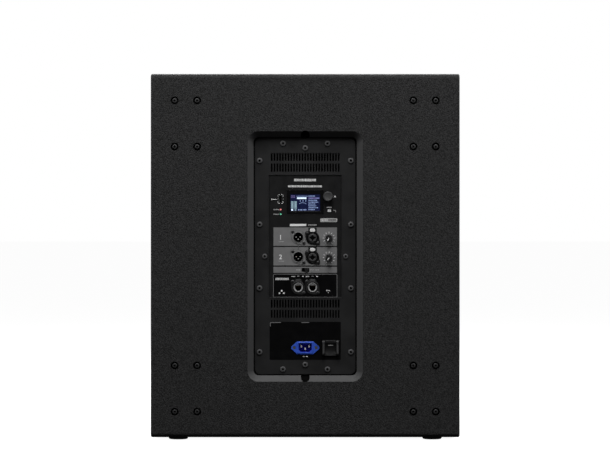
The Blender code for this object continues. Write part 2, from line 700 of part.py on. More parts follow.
def make_output_sockets():
    """Male line sockets: a shell with three pins in its cup."""
    for index, (u, v) in enumerate(OUTPUTS, 1):
        name = f"output_socket_{index}"
        x, z = on_panel(u, v)
        socket = cylinder(name, (x, z), SOCKET_RADIUS, SOCKET_REAR, SOCKET_FRONT, "black_plastic", 24)
        add_flange(socket, name, u, v - 15.0, v + 15.0)
        boolean(socket, cylinder(f"{name}_cup", (x, z), 8.0, 328.2, SOCKET_FRONT + 5, steps=24))
        pins = bmesh.new()
        for across, up in ((-3.5, 2.0), (3.5, 2.0), (0.0, -4.0)):
            add_cylinder(pins, (x + across, z + up), 1.2, 326.0, 341.0, 8)
        boolean(socket, place(f"{name}_pins", pins), "UNION")


def make_input_sockets():
    """Combination sockets: a jack bore in a core, a ring groove round it and a push tab above."""
    for index, (u, v) in enumerate(INPUTS, 1):
        name = f"input_socket_{index}"
        x, z = on_panel(u, v)
        socket = cylinder(name, (x, z), SOCKET_RADIUS, SOCKET_REAR, SOCKET_FRONT, "black_plastic", 24)
        add_flange(socket, name, u, v - 14.5, v + 18.2)
        hole = add_latch_housing(socket, name, (u, v), INPUT_HOUSING, INPUT_LATCH_V, INPUT_LATCH_SIZE)
        boolean(socket, hole)
        boolean(socket, groove_cutter(f"{name}_groove", x, z, 8.0, 9.6, 12.0))
        boolean(socket, cylinder(f"{name}_jack", (x, z), 3.25, 320.0, SOCKET_FRONT + 5, steps=12))
        latch = block(f"input_latch_{index}",
                      *panel_box(u, v + INPUT_LATCH_V, *INPUT_LATCH_SIZE, LATCH_REAR, LATCH_FRONT),
                      "latch_metal", radius=0.8, steps=2)
        set_origin(latch, (x, CONTROL_FRONT, z + INPUT_LATCH_V))


def make_network_sockets():
    """Network sockets: a ring groove round an insert with the plug's opening."""
    for index, (u, v) in enumerate(NETWORKS, 1):
        name = f"network_socket_{index}"
        x, z = on_panel(u, v)
        socket = cylinder(name, (x, z), NETWORK_RADIUS, SOCKET_REAR, SOCKET_FRONT, "black_plastic", 24)
        add_flange(socket, name, u, v - 14.0, v + 16.8)
        hole = add_latch_housing(socket, name, (u, v), NETWORK_HOUSING, NETWORK_LATCH_V, NETWORK_LATCH_SIZE)
        boolean(socket, hole)
        boolean(socket, groove_cutter(f"{name}_groove", x, z, 8.1, 10.4, 7.0))
        boolean(socket, block(f"{name}_plug_opening", *panel_box(u, v, 11.5, 9.5, 329.0, SOCKET_FRONT + 5)))
        latch = block(f"network_latch_{index}",
                      *panel_box(u, v + NETWORK_LATCH_V, *NETWORK_LATCH_SIZE, LATCH_REAR, LATCH_FRONT),
                      "latch_metal", radius=0.8, steps=2)
        set_origin(latch, (x, CONTROL_FRONT, z + NETWORK_LATCH_V))


def make_knobs():
    for index, (u, v) in enumerate(LEVELS, 1):
        x, z = on_panel(u, v)
        origin = (x, CONTROL_FRONT, z)
        radius = LEVEL_RADIUS
        profile = [(0, 12.6), (radius - 1.6, 12.6), (radius - 0.8, 12.0), (radius, 1.0), (SHAFT_RADIUS, 1.0),
                   (SHAFT_RADIUS, -16.0), (0, -16.0)]
        set_origin(turned(f"level_knob_{index}", profile, "black_plastic", origin, "+Y", 24), origin)
    x, z = on_panel(*ENCODER)
    origin = (x, CONTROL_FRONT, z)
    radius = ENCODER_RADIUS
    shaft = [(0, 7.0), (SHAFT_RADIUS, 7.0), (SHAFT_RADIUS, -25.0), (0, -25.0)]
    set_origin(turned("encoder_shaft", shaft, "latch_metal", origin, "+Y", 16), origin)
    bore = SHAFT_RADIUS + GAP
    knob = [(0, 9.4), (radius - 2.8, 9.8), (radius - 0.9, 10.4), (radius, 9.6), (radius, 1.2), (bore, 1.2),
            (bore, 7.4), (0, 7.4)]
    set_origin(turned("encoder_knob", knob, "grey_plastic", origin, "+Y", 28), origin)


def make_small_controls():
    x, z = on_panel(*HOME_BUTTON)
    button = block("home_button", *panel_box(*HOME_BUTTON, *HOME_SIZE, HOME_REAR, CONTROL_FRONT + 1.0),
                   "grey_plastic", radius=1.0, steps=2)
    set_origin(button, (x, CONTROL_FRONT, z))
    x, z = on_panel(*MODE_SLIDER)
    slider_box = panel_box(*MODE_SLIDER, *MODE_SLIDER_SIZE, SLIDER_REAR, CONTROL_FRONT + 2.0)
    slider = block("mode_switch_slider", *slider_box, "grey_plastic", radius=0.5, steps=1)
    set_origin(slider, (x, CONTROL_FRONT, z))
    port = block("usb_port", *panel_box(*USB, *USB_SIZE, USB_REAR, CONTROL_FRONT + 0.4), "latch_metal")
    inside = (USB_SIZE[0] - 2 * USB_WALL, USB_SIZE[1] - 2 * USB_WALL)
    cavity = block("usb_cavity", *panel_box(*USB, *inside, USB_REAR + 7.0, CONTROL_FRONT + 5))
    tongue = block("usb_tongue",
                   *panel_box(USB[0] - 0.9, USB[1], 1.8, 10.5, USB_REAR + 3.0, CONTROL_FRONT - 1.0))
    boolean(port, cavity)
    boolean(port, tongue, "UNION")


# ---------------------------------------------------------------- mains
def make_inlet():
    """A flange with pointed ends, a body behind it and three blades in its cavity."""
    flange_y = PANEL_FRONT + GAP
    front = flange_y + 2.2
    x, z = on_panel(*INLET)
    half_length = INLET_FLANGE[0] / 2
    half_height = INLET_FLANGE[1] / 2
    shoulder = INLET_BODY[0] / 2 + 2.0
    tip = 4.2
    outline = [(half_length, tip), (shoulder, half_height), (-shoulder, half_height), (-half_length, tip),
               (-half_length, -tip), (-shoulder, -half_height), (shoulder, -half_height),
               (half_length, -tip)]
    inlet = prism("mains_inlet", outline, x, z, flange_y, front, "blue_plastic")
    body = block("inlet_body", *panel_box(*INLET, *INLET_BODY, SOCKET_REAR, front - 0.5))
    half_width = INLET_CAVITY[0] / 2
    half_cavity = INLET_CAVITY[1] / 2
    corner = 4.0
    cavity_outline = [(half_width, half_cavity), (-half_width, half_cavity),
                      (-half_width, corner - half_cavity),
                      (corner - half_width, -half_cavity), (half_width - corner, -half_cavity),
                      (half_width, corner - half_cavity)]
    cavity = prism("inlet_cavity", cavity_outline, x, z, front - 17.0, front + 5)
    pins = bmesh.new()
    for across, up in ((-7.0, 2.3), (7.0, 2.3), (0.0, -2.1)):
        add_block(pins, (x + across - 1.0, front - 19.0, z + up - 2.0),
                  (x + across + 1.0, front - 4.0, z + up + 2.0))
    boolean(inlet, body, "UNION")
    boolean(inlet, cavity)
    boolean(inlet, place("inlet_pins", pins), "UNION")


def prism(name, outline, x, z, low_y, high_y, material=None):
    """A flat outline of (across, up) points, drawn out between two depths."""
    bm = bmesh.new()
    verts = [bm.verts.new(Vector((x + across, low_y, z + up)) * MM) for across, up in outline]
    face = bm.faces.new(verts)
    extruded = bmesh.ops.extrude_face_region(bm, geom=[face])["geom"]
    moved = [item for item in extruded if isinstance(item, bmesh.types.BMVert)]
    bmesh.ops.translate(bm, vec=Vector((0, high_y - low_y, 0)) * MM, verts=moved)
    return place(name, bm, material)


def make_power_switch():
    """A flanged frame with a raised guard on each side, and the rocker in it."""
    flange_y = PANEL_FRONT + GAP
    flange_front = flange_y + 2.0
    frame = block("power_switch_frame", *panel_box(*SWITCH, *SWITCH_FLANGE, flange_y, flange_front),
                  "black_plastic", radius=1.5, steps=2)
    body = block("switch_body", *panel_box(*SWITCH, *SWITCH_BODY, 324.0, flange_front - 0.5))
    window = block("switch_window", *panel_box(*SWITCH, *SWITCH_WINDOW, 327.0, flange_front + 20))
    guards = bmesh.new()
    margin = 0.5
    guard_width = (SWITCH_FLANGE[0] - SWITCH_WINDOW[0]) / 2 - 2 * margin
    for sign in (-1, 1):
        u = SWITCH[0] + sign * ((SWITCH_FLANGE[0] - guard_width) / 2 - margin)
        guard = panel_box(u, SWITCH[1], guard_width, SWITCH_FLANGE[1] - 1.0, flange_front - 1, GUARD_FRONT)
        add_block(guards, *guard, 3.0, axis=0, steps=3)
    boolean(frame, body, "UNION")
    boolean(frame, window)
    boolean(frame, place("switch_guards", guards), "UNION")
    x, z = on_panel(*SWITCH)
    outline = [(4.6, 11.2), (2.0, 0.0), (4.6, -11.2)]
    steps = 10
    for step in range(steps + 1):
        angle = math.radians(-90 - 180 * step / steps)
        outline.append((ROCKER_RADIUS * math.cos(angle), ROCKER_RADIUS * math.sin(angle)))
    bm = bmesh.new()
    verts = [bm.verts.new(Vector((-ROCKER_WIDTH / 2, forward, up)) * MM) for forward, up in outline]
    face = bm.faces.new(verts)
    extruded = bmesh.ops.extrude_face_region(bm, geom=[face])["geom"]
    moved = [item for item in extruded if isinstance(item, bmesh.types.BMVert)]
    bmesh.ops.translate(bm, vec=Vector((ROCKER_WIDTH, 0, 0)) * MM, verts=moved)
    tilt = Matrix.Rotation(math.radians(-ROCKER_TILT), 3, "X")
    bmesh.ops.rotate(bm, verts=bm.verts, cent=(0, 0, 0), matrix=tilt)
    rocker = place("power_rocker", bm, "black_plastic")
    rocker.location = Vector((x, PANEL_FRONT, z)) * MM


# ---------------------------------------------------------------- fan and lead
def make_fan():
    centre = (0.0, FAN_Y)
    low = AMP_Z + FAN_V - FAN_DEPTH / 2
    high = low + FAN_DEPTH
    half = FAN_SIZE / 2
    frame = block("fan_frame", (-half, FAN_Y - half, low), (half, FAN_Y + half, high), "black_plastic",
                  radius=4.0, axis=2, steps=2)
    boolean(frame, cylinder("fan_bore", centre, FAN_BORE, low - 5, high + 5, steps=28, axis=2))
    strut = block("fan_strut_x", (-half + 0.5, FAN_Y - 2, low), (half - 0.5, FAN_Y + 2, low + 2.5))
    boolean(frame, strut, "UNION")
    strut = block("fan_strut_y", (-2, FAN_Y - half + 0.5, low + 0.2), (2, FAN_Y + half - 0.5, low + 2.3))
    boolean(frame, strut, "UNION")
    motor_plate = cylinder("fan_motor_plate", centre, FAN_HUB, low + 0.1, low + 2.9, steps=20, axis=2)
    boolean(frame, motor_plate, "UNION")
    rotor = cylinder("fan_rotor", centre, FAN_HUB, low + 3.5, high - 1.0, "black_plastic", 20, axis=2)
    bm = bmesh.new()
    blade_reach = FAN_BORE - 1.2 - FAN_HUB
    for index in range(BLADE_COUNT):
        turn = Matrix.Translation(Vector((0, FAN_Y, low + 11.2)) * MM)
        turn = turn @ Matrix.Rotation(2 * math.pi * index / BLADE_COUNT, 4, "Z")
        turn = turn @ Matrix.Translation(Vector((FAN_HUB + blade_reach / 2 - 1.0, 0, 0)) * MM)
        turn = turn @ Matrix.Rotation(math.radians(35), 4, "X")
        size = Vector((blade_reach + 2.0, 15.0, 1.4)) * MM
        bmesh.ops.create_cube(bm, size=1.0, matrix=turn @ Matrix.Diagonal((*size, 1.0)))
    boolean(rotor, place("fan_blades", bm), "UNION")
    set_origin(rotor, (0.0, FAN_Y, low))


def make_speaker_lead():
    """The lead from the amplifier's enclosure, through the brace, to the woofer's basket."""
    spoke = (121.0, WOOFER_Z - 70.0)
    route = [(20, 231.6, 480), (20, 224, 480), (20, 215, 480), (34, 160, 440), (75, 60, 330),
             (105, -61, 300), (118, -130, 312), (spoke[0], -175, spoke[1]), (spoke[0], -195, spoke[1]),
             (spoke[0], -209, spoke[1])]
    points = smooth_route([Vector(point) for point in route], 2)
    curve = bpy.data.curves.new("speaker_lead", "CURVE")
    curve.dimensions = "3D"
    curve.bevel_depth = 3.5 * MM
    curve.bevel_resolution = 2
    curve.use_fill_caps = True
    spline = curve.splines.new("POLY")
    spline.points.add(len(points) - 1)
    for target, point in zip(spline.points, points):
        target.co = (*(point * MM), 1.0)
    curve.materials.append(MATERIALS["cable"])
    PARTS.objects.link(bpy.data.objects.new("speaker_lead", curve))


def smooth_route(points, steps):
    """Points along a smooth curve through the given ones."""
    result = []
    count = len(points)
    for index in range(count - 1):
        before = points[max(index - 1, 0)]
        start = points[index]
        end = points[index + 1]
        after = points[min(index + 2, count - 1)]
        for step in range(steps):
            t = step / steps
            spread = start * 2 + (end - before) * t
            bend = (before * 2 - start * 5 + end * 4 - after) * t ** 2
            close = (start * 3 - before - end * 3 + after) * t ** 3
            result.append((spread + bend + close) / 2)
    result.append(points[-1])
    return result


def main():
    clear_scene()
    bpy.context.scene.collection.children.link(PARTS)
    bpy.context.scene.collection.children.link(CUTTERS)
    make_materials()
    make_boards()
    make_rear_panel()
    make_mount_frame()
    make_feet()
    make_handles()
    make_pole_socket()
    make_grille()
    make_woofer()
    make_amp_panel()
    make_enclosure()
    make_control_panel()
    make_electronics()
    make_output_sockets()
    make_input_sockets()
    make_network_sockets()
    make_knobs()
    make_small_controls()
    make_inlet()
    make_power_switch()
    make_fan()
    make_speaker_lead()


main()
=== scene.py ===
"""Looks for the powered subwoofer: coated cabinet, perforated grille, handles and a detailed amplifier panel.

Lengths are in millimetres until they reach Blender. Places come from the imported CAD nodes.
On the amplifier panel a place is (u, v): u to the viewer's right from behind (-X), v up from its middle.
"""
import math
import random

import bmesh
import bpy
from mathutils import Matrix, Vector
from mathutils.geometry import convex_hull_2d


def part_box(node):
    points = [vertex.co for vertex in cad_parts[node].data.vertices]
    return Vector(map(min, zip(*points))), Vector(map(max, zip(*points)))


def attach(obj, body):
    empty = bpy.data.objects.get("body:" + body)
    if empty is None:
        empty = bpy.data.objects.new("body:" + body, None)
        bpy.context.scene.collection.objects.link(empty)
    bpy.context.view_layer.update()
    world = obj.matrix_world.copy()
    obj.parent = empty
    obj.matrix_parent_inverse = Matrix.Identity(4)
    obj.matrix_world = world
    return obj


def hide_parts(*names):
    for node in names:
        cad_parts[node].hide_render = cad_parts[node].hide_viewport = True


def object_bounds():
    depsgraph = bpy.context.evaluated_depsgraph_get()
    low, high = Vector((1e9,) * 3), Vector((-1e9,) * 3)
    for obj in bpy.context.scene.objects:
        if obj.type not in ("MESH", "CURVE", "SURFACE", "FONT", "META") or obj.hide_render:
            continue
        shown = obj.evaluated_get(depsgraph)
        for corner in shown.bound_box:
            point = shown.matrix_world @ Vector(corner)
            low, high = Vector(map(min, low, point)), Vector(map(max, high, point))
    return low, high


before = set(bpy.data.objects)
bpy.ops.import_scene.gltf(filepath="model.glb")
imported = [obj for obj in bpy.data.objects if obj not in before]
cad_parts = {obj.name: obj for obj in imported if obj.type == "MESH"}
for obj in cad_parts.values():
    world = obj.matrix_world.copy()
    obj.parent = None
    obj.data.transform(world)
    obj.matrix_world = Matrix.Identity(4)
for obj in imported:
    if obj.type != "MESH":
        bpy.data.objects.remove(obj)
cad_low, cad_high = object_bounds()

MM = 0.001


def node_box(name):
    """Lowest and highest corner of a CAD node, in millimetres."""
    low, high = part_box(name)
    return low / MM, high / MM


# ---- places read from the frame
CABINET_LOW = Vector((cad_low.x / MM, cad_low.y / MM, node_box("bottom_panel")[0].z))
CABINET_HIGH = cad_high / MM
INNER_LOW = Vector((node_box("side_panel_left")[1].x, CABINET_LOW.y, node_box("bottom_panel")[1].z))
INNER_HIGH = Vector((node_box("side_panel_right")[0].x, node_box("rear_panel")[0].y, node_box("top_panel")[0].z))
BACK = CABINET_HIGH.y
PANEL_LOW, PANEL_HIGH = node_box("amp_panel")
PANEL_WIDTH, _, PANEL_HEIGHT = PANEL_HIGH - PANEL_LOW
AMP_Z = (PANEL_LOW.z + PANEL_HIGH.z) / 2
PANEL_FRONT = PANEL_HIGH.y
CONTROL_LOW, CONTROL_HIGH = node_box("control_panel")
CONTROL_WIDTH, _, CONTROL_HEIGHT = CONTROL_HIGH - CONTROL_LOW
CONTROL_V = (CONTROL_LOW.z + CONTROL_HIGH.z) / 2 - AMP_Z
CONTROL_FRONT = CONTROL_HIGH.y


def panel_place(node, below=None):
    """(u, v) of a node's middle, or of a point that far above its lowest edge."""
    low, high = node_box(node)
    up = (low.z + high.z) / 2 if below is None else low.z + below
    return -(low.x + high.x) / 2, up - AMP_Z


OUTPUTS = [panel_place(f"output_socket_{index}") for index in (1, 2)]
INPUTS = [panel_place(f"input_socket_{index}", 14.5) for index in (1, 2)]
NETWORKS = [panel_place(f"network_socket_{index}", 14.0) for index in (1, 2)]
LEVELS = [panel_place(f"level_knob_{index}") for index in (1, 2)]
DISPLAY = panel_place("display_window")
ENCODER = panel_place("encoder_knob")
HOME_BUTTON = panel_place("home_button")
USB = panel_place("usb_port")
MODE_SLIDER = panel_place("mode_switch_slider")
INLET = panel_place("mains_inlet")
SWITCH = panel_place("power_switch_frame")
HANDLES = [f"handle_{side}_{level}" for side in ("left", "right") for level in ("lower", "upper")]

# ---- sizes of the finer features
OVERSHOOT = 5.0  # how far a cutter stands out of what it cuts
EDGE_RADIUS = 3.2
REAR_EDGE_RADIUS = 8.5
RECESS = (210.5, 457.9)
RECESS_RADIUS = 20.0
RECESS_SLOPE_WIDTH = 10.8
RECESS_FLOOR = [size - 2 * RECESS_SLOPE_WIDTH for size in RECESS]
NOTCH_REACH = 230.0
NOTCH_RADIUS = 8.0
CASTORS = [(side * 218.2 + across * 20.5, middle + up * 42.15)
           for middle in (95.4, 580.0) for side in (-1, 1) for across in (-1, 1) for up in (-1, 1)]
BORE_RADIUS = 7.35
BORE_DEPTH = 6.0
HANDLE_FLANGE = (200.0, 120.0)
HANDLE_CUP = (176.0, 96.0)
HANDLE_DEPTH = 60.0
FLANGE_THICKNESS = 3.0
VENT_PITCH = 5.12
VENT_WIDTH = 2.9
VENT_COUNT = 25
VENT_ROWS = ((174.6, 189.8), (154.8, 170.3), (-94.5, -79.3), (-113.2, -98.0))
PANEL_SCREWS = [(su * u, sv * v, 5.1) for u, v in ((40.8, 207.0), (83.7, 175.5), (83.7, 58.4))
                for su in (-1, 1) for sv in (-1, 1)]
PANEL_SCREWS += [(0.0, 198.6, 5.1), (0.0, -198.6, 5.1), (-74.2, 0.0, 4.6), (74.2, 0.0, 4.6)]
PRINT = 0.12
RAISED = CONTROL_FRONT + PRINT
STRIPS = ((53.0, 19.1), (16.9, -16.8), (-19.2, -30.2))
STRIP_WIDTH = 116.4
NETWORK_BOX_V = -53.9
LEDS = {"led_red": 85.7, "led_green": 77.2}
LABEL_TOP, LABEL_BOTTOM, LABEL_WIDTH = -120.2, -189.7, 130.4
LABEL_FRONT = PANEL_FRONT + 0.25
INLET_HOLE = (27.8, 20.2)
SWITCH_HOLE = (27.6, 25.6)
SOCKET_REAR = 312.0  # this and the depths below are y in the CAD's frame
OUTPUT_PIN_FLOOR = 327.9
JACK_FLOOR = 331.0
JACK_CONTACT_FLOOR = 333.0
NETWORK_FLOOR = 329.0
USB_FLOOR = 328.5
SWITCH_FLOOR = 327.0
MODE_SWITCH_WELL = (338.4, 339.6)
MODE_SWITCH_U = 0.3


# ---- materials
def feed(tree, node, inputs):
    """Give each input its value, or link it to another node's output."""
    for key, value in inputs.items():
        if isinstance(value, bpy.types.NodeSocket):
            tree.links.new(value, node.inputs[key])
        else:
            node.inputs[key].default_value = value


def add_node(tree, kind, output, inputs, **settings):
    """Add a shader node and return one of its outputs."""
    node = tree.nodes.new("ShaderNode" + kind)
    for key, value in settings.items():
        setattr(node, key, value)
    feed(tree, node, inputs)
    return node.outputs[output]


def new_material(name):
    material = bpy.data.materials.new(name)
    material.use_nodes = True
    return material, material.node_tree, material.node_tree.nodes["Principled BSDF"]


def noise(tree, size, detail=3.0, stretch=(1.0, 1.0, 1.0)):
    """Noise with features of about size millimetres, in the object's own space."""
    place = add_node(tree, "TexCoord", "Object", {})
    place = add_node(tree, "Mapping", "Vector", {"Vector": place, "Scale": stretch})
    return add_node(tree, "TexNoise", "Fac", {"Vector": place, "Scale": 1.0 / (size * MM), "Detail": detail})


def cells(tree, size, feature, **inputs):
    """Distances in a pattern of cells of about size millimetres."""
    place = add_node(tree, "TexCoord", "Object", {})
    inputs |= {"Vector": place, "Scale": 1.0 / (size * MM)}
    return add_node(tree, "TexVoronoi", "Distance", inputs, feature=feature)


def remap(tree, value, low, high, start=0.3, end=0.7):
    return add_node(tree, "MapRange", "Result", {"Value": value, "From Min": start, "From Max": end,
                                                 "To Min": low, "To Max": high})


def tint(tree, factor, colour, low, high):
    """A colour that goes from low to high times its strength."""
    ends = {key: (*[min(1.0, channel * scale) for channel in colour], 1.0) for key, scale in (("A", low), ("B", high))}
    return add_node(tree, "Mix", "Result", ends | {"Factor": factor}, data_type="RGBA")


def bump(tree, height, depth):
    return add_node(tree, "Bump", "Normal", {"Height": height, "Distance": depth * MM, "Strength": 1.0})


def surface(name, colour, roughness, metallic=0.0, grain=0.03, grain_size=0.5, mottle=0.15, patch=12.0,
            specular=0.5, glow=0.0, spread=0.08, stretch=(1.0, 1.0, 1.0)):
    """A surface with fine grain in its relief, and uneven colour and gloss; a colour of one number is a grey.

    grain is the relief's depth and grain_size its width; patch is the width of the uneven colour.
    """
    material, tree, shader = new_material(name)
    colour = (colour,) * 3 if isinstance(colour, float) else colour
    broad = noise(tree, patch, 4.0, stretch)
    tinted = tint(tree, remap(tree, broad, 0.0, 1.0), colour, 1 - mottle, 1 + mottle)
    gloss = remap(tree, broad, max(0.02, roughness - spread), min(1.0, roughness + spread))
    feed(tree, shader, {"Base Color": tinted, "Roughness": gloss, "Metallic": metallic,
                        "Specular IOR Level": specular})
    if grain:
        feed(tree, shader, {"Normal": bump(tree, noise(tree, grain_size, 2.0, stretch), grain)})
    if glow:
        feed(tree, shader, {"Emission Color": tinted, "Emission Strength": glow})
    return material


def pebbled_coating(name, colour, roughness, pebble, depth, speckle, specular):
    """Sprayed polyurea: rounded pebbles of uneven size over a fine grain."""
    material, tree, shader = new_material(name)
    fine = noise(tree, pebble * 0.8)
    height = add_node(tree, "Math", "Value", {0: fine, 1: cells(tree, pebble, "SMOOTH_F1", Smoothness=0.6)},
                      operation="SUBTRACT")
    spots = tint(tree, remap(tree, fine, 0.0, 1.0, 0.35, 0.65), colour, 1 - speckle, 1 + speckle)
    gloss = remap(tree, noise(tree, 45.0), roughness - 0.03, roughness + 0.03)
    feed(tree, shader, {"Normal": bump(tree, height, depth), "Base Color": spots, "Roughness": gloss,
                        "Specular IOR Level": specular})
    return material


def open_foam(name, colour):
    """Reticulated foam: dark cells between thin strands."""
    material, tree, shader = new_material(name)
    strand = remap(tree, cells(tree, 1.6, "DISTANCE_TO_EDGE"), 1.0, 0.0, 0.02, 0.22)
    feed(tree, shader, {"Base Color": tint(tree, strand, colour, 0.25, 1.0), "Normal": bump(tree, strand, 0.5),
                        "Roughness": 0.95})
    return material


# Each slot of the record with its surfaces: colour, roughness, metallic, grain, grain_size, mottle, patch,
# specular, glow, spread and stretch, as far as they differ from the defaults of surface().
SURFACES = {
    # black_wood_and_shade: near-black painted wood, made darker still as painted shade for the gap round the amplifier
    # panel; the notch walls use it as painted shade too
    "coating": {"black_wood_and_shade": (0.003, 0.9, 0, 0.08, 0.8, 0.15, 12, 0.1)},
    "plywood": {"plywood": ((0.46, 0.31, 0.17), 0.6, 0, 0.05, 1.2, 0.28, 6, 0.5, 0, 0.08, (0.06, 1, 0.25))},
    "rubber": {"rubber": (0.014, 0.75, 0, 0.05, 0.4, 0.3)},
    "cast_handle": {"handle": ((0.022, 0.022, 0.023), 0.42, 0.3, 0.06, 0.45, 0.25, 18),
                    "pole_black": (0.016, 0.65, 0, 0.05, 0.5, 0.2, 9, 0.25),
                    "grip": (0.014, 0.7, 0, 0.06, 0.35, 0.3, 6)},
    "grille_steel": {"grille": ((0.030, 0.030, 0.031), 0.42, 0.3, 0.03, 0.4, 0.25, 25)},
    "cast_basket": {"basket": ((0.04, 0.04, 0.042), 0.45, 0.7, 0.08, 0.7, 0.2)},
    "surround": {"surround": ((0.014, 0.014, 0.015), 0.8, 0, 0.05, 0.4, 0.25)},
    "cone": {"cone": ((0.024, 0.023, 0.023), 0.8, 0, 0.25, 1.2, 0.35, 5)},
    "coil": {"coil": ((0.52, 0.22, 0.08), 0.35, 0.9, 0.15, 0.35, 0.2, 12, 0.5, 0, 0.08, (0.1, 1, 0.1))},
    "spider": {"spider": ((0.42, 0.26, 0.09), 0.85, 0, 0.2, 0.5, 0.25)},
    "magnet_steel": {"steel": ((0.42, 0.42, 0.44), 0.32, 1, 0.02, 0.4, 0.15, 12, 0.5, 0, 0.08, (1, 0.1, 1))},
    "magnet_ferrite": {"ferrite": ((0.035, 0.035, 0.04), 0.6, 0.2, 0.1, 0.6, 0.3)},
    "aluminium": {"aluminium": ((0.30, 0.30, 0.31), 0.45, 0.9, 0.02, 0.4, 0.2)},
    "board_green": {"circuit": ((0.01, 0.11, 0.045), 0.4, 0, 0.03, 1, 0.35, 3)},
    "cable": {"cable": ((0.28, 0.02, 0.02), 0.5, 0, 0.05, 0.6, 0.15)},
    "blue_plastic": {"blue": ((0.030, 0.095, 0.56), 0.42, 0, 0.02, 0.3, 0.12, 6),
                     # blue_painted_shade: darker blue, painted shade on the inlet cavity's walls
                     "blue_painted_shade": ((0.016, 0.026, 0.50), 0.5, 0, 0.02, 0.3, 0.15, 4)},
    "black_plastic": {"black": ((0.012, 0.012, 0.0122), 0.42, 0, 0.02, 0.3, 0.2, 8, 0.35),
                      "socket_black": ((0.0065, 0.0065, 0.0067), 0.4, 0, 0.02, 0.3, 0.2, 8, 0.3),
                      "control": ((0.0105, 0.0105, 0.0108), 0.45, 0, 0.015, 0.3, 0.12, 15, 0.2),
                      "label": ((0.0028, 0.0028, 0.0030), 0.4, 0, 0.006, 0.3, 0.1, 15, 0.1),
                      "knob_black": ((0.012, 0.012, 0.0125), 0.42, 0, 0.03, 0.3, 0.15, 4),
                      "print_white": (0.80, 0.6, 0, 0.01, 0.2, 0.06),
                      "print_grey": (0.38, 0.6, 0, 0.01, 0.2, 0.08),
                      "print_dark": ((0.075, 0.075, 0.076), 0.6, 0, 0.01, 0.2, 0.08)},
    "grey_plastic": {"strip": ((0.175, 0.175, 0.176), 0.55, 0, 0.02, 0.3, 0.06, 10, 0.3),
                     "socket_grey": ((0.22, 0.22, 0.221), 0.42, 0.2, 0.02, 0.3, 0.1),
                     "core_grey": ((0.062, 0.062, 0.063), 0.4, 0.1, 0.01, 0.3, 0.1, 3),
                     "knob_grey": ((0.050, 0.050, 0.051), 0.5, 0, 0.03, 0.3, 0.15, 4),
                     "button": (0.72, 0.5, 0, 0.02, 0.3, 0.1, 3)},
    "latch_metal": {"nickel": ((0.62, 0.61, 0.60), 0.35, 1, 0.01, 0.3, 0.08, 3),
                    "tab": (0.80, 0.45, 0.2, 0.01, 0.3, 0.08, 3),
                    "pin": ((0.50, 0.50, 0.49), 0.5, 0.3, 0.01, 0.3, 0.06, 3),
                    "face_grey": (0.34, 0.45, 0.3, 0.01, 0.3, 0.1, 3),
                    "gold": ((0.75, 0.50, 0.18), 0.3, 1, 0.01, 0.3, 0.1, 2)},
    "panel_paint": {"panel": ((0.0185, 0.0185, 0.019), 0.45, 0, 0.035, 0.45, 0.12, 30, 0.25),
                    "screw": ((0.090, 0.090, 0.092), 0.55, 0.2, 0.02, 0.3, 0.2, 2, 0.3),
                    "screw_black": ((0.030, 0.030, 0.031), 0.4, 0.4, 0.02, 0.3, 0.2, 2),
                    "castor_screw": ((0.038, 0.038, 0.039), 0.5, 0.2, 0.02, 0.3, 0.2, 2),
                    # washer_bore_shade: a washer's colour taken near-black as painted shade in the castor bores
                    "washer_bore_shade": (0.006, 0.5, 0, 0.02, 0.3, 0.2, 2, 0.2),
                    # painted_shade_black: near-black painted shade for the floors of screw sockets and the walls of the
                    # vent slots
                    "painted_shade_black": (0.002, 0.8, 0, 0.01, 0.3, 0.2, 2, 0.05)},
    "window": {"bezel": ((0.004, 0.004, 0.0045), 0.15, 0, 0, 0.3, 0.2, 9, 0.5, 0, 0.03),
               "screen": ((0.004, 0.006, 0.026), 0.15, 0, 0, 0.3, 0.25, 4, 0.5, 1, 0.03),
               "screen_text": ((0.15, 0.20, 0.34), 0.3, 0, 0, 0.3, 0.3, 1.2, 0.5, 1),
               "screen_meter": ((0.17, 0.25, 0.29), 0.3, 0, 0, 0.3, 0.2, 1.2, 0.5, 1),
               "screen_accent": ((0.08, 0.065, 0.16), 0.3, 0, 0, 0.3, 0.2, 1.2, 0.5, 1),
               "screen_white": ((0.55, 0.66, 0.80), 0.3, 0, 0, 0.3, 0.1, 1.2, 0.5, 1),
               "led_red": ((0.75, 0.20, 0.20), 0.25, 0, 0, 0.3, 0.1, 1, 0.5, 0.7),
               "led_green": ((0.10, 0.50, 0.30), 0.25, 0, 0, 0.3, 0.1, 1, 0.5, 0.7)},
}
MATERIALS = {name: (surface(name, *values), slot) for slot, group in SURFACES.items() for name, values in group.items()}
MATERIALS["coating"] = pebbled_coating("coating", (0.0235, 0.0235, 0.0238), 0.72, 2.2, 0.5, 0.6, 0.16), "coating"
MATERIALS["coating_smooth"] = pebbled_coating("coating_smooth", (0.072, 0.072, 0.073), 0.5, 1.2, 0.05, 0.1,
                                              0.4), "coating"
MATERIALS["foam"] = open_foam("foam", (0.016, 0.016, 0.017)), "foam"


# ---- shapes
def shape(add):
    """Let a function that adds to a mesh be called without one: it adds to the mesh given as to, or to a new one."""
    def draw(*values, to=None, **options):
        bm = bmesh.new() if to is None else to
        add(bm, *values, **options)
        return bm
    return draw


def raised(bm, faces, keep=False):
    """Extrude faces by nothing and return the vertices that are to be moved."""
    made = bmesh.ops.extrude_face_region(bm, geom=faces, use_keep_orig=keep)["geom"]
    return [item for item in made if isinstance(item, bmesh.types.BMVert)]


def join_loops(bm, first, second):
    """Faces between two closed loops of vertices."""
    for index in range(len(first)):
        bm.faces.new((first[index - 1], first[index], second[index], second[index - 1]))


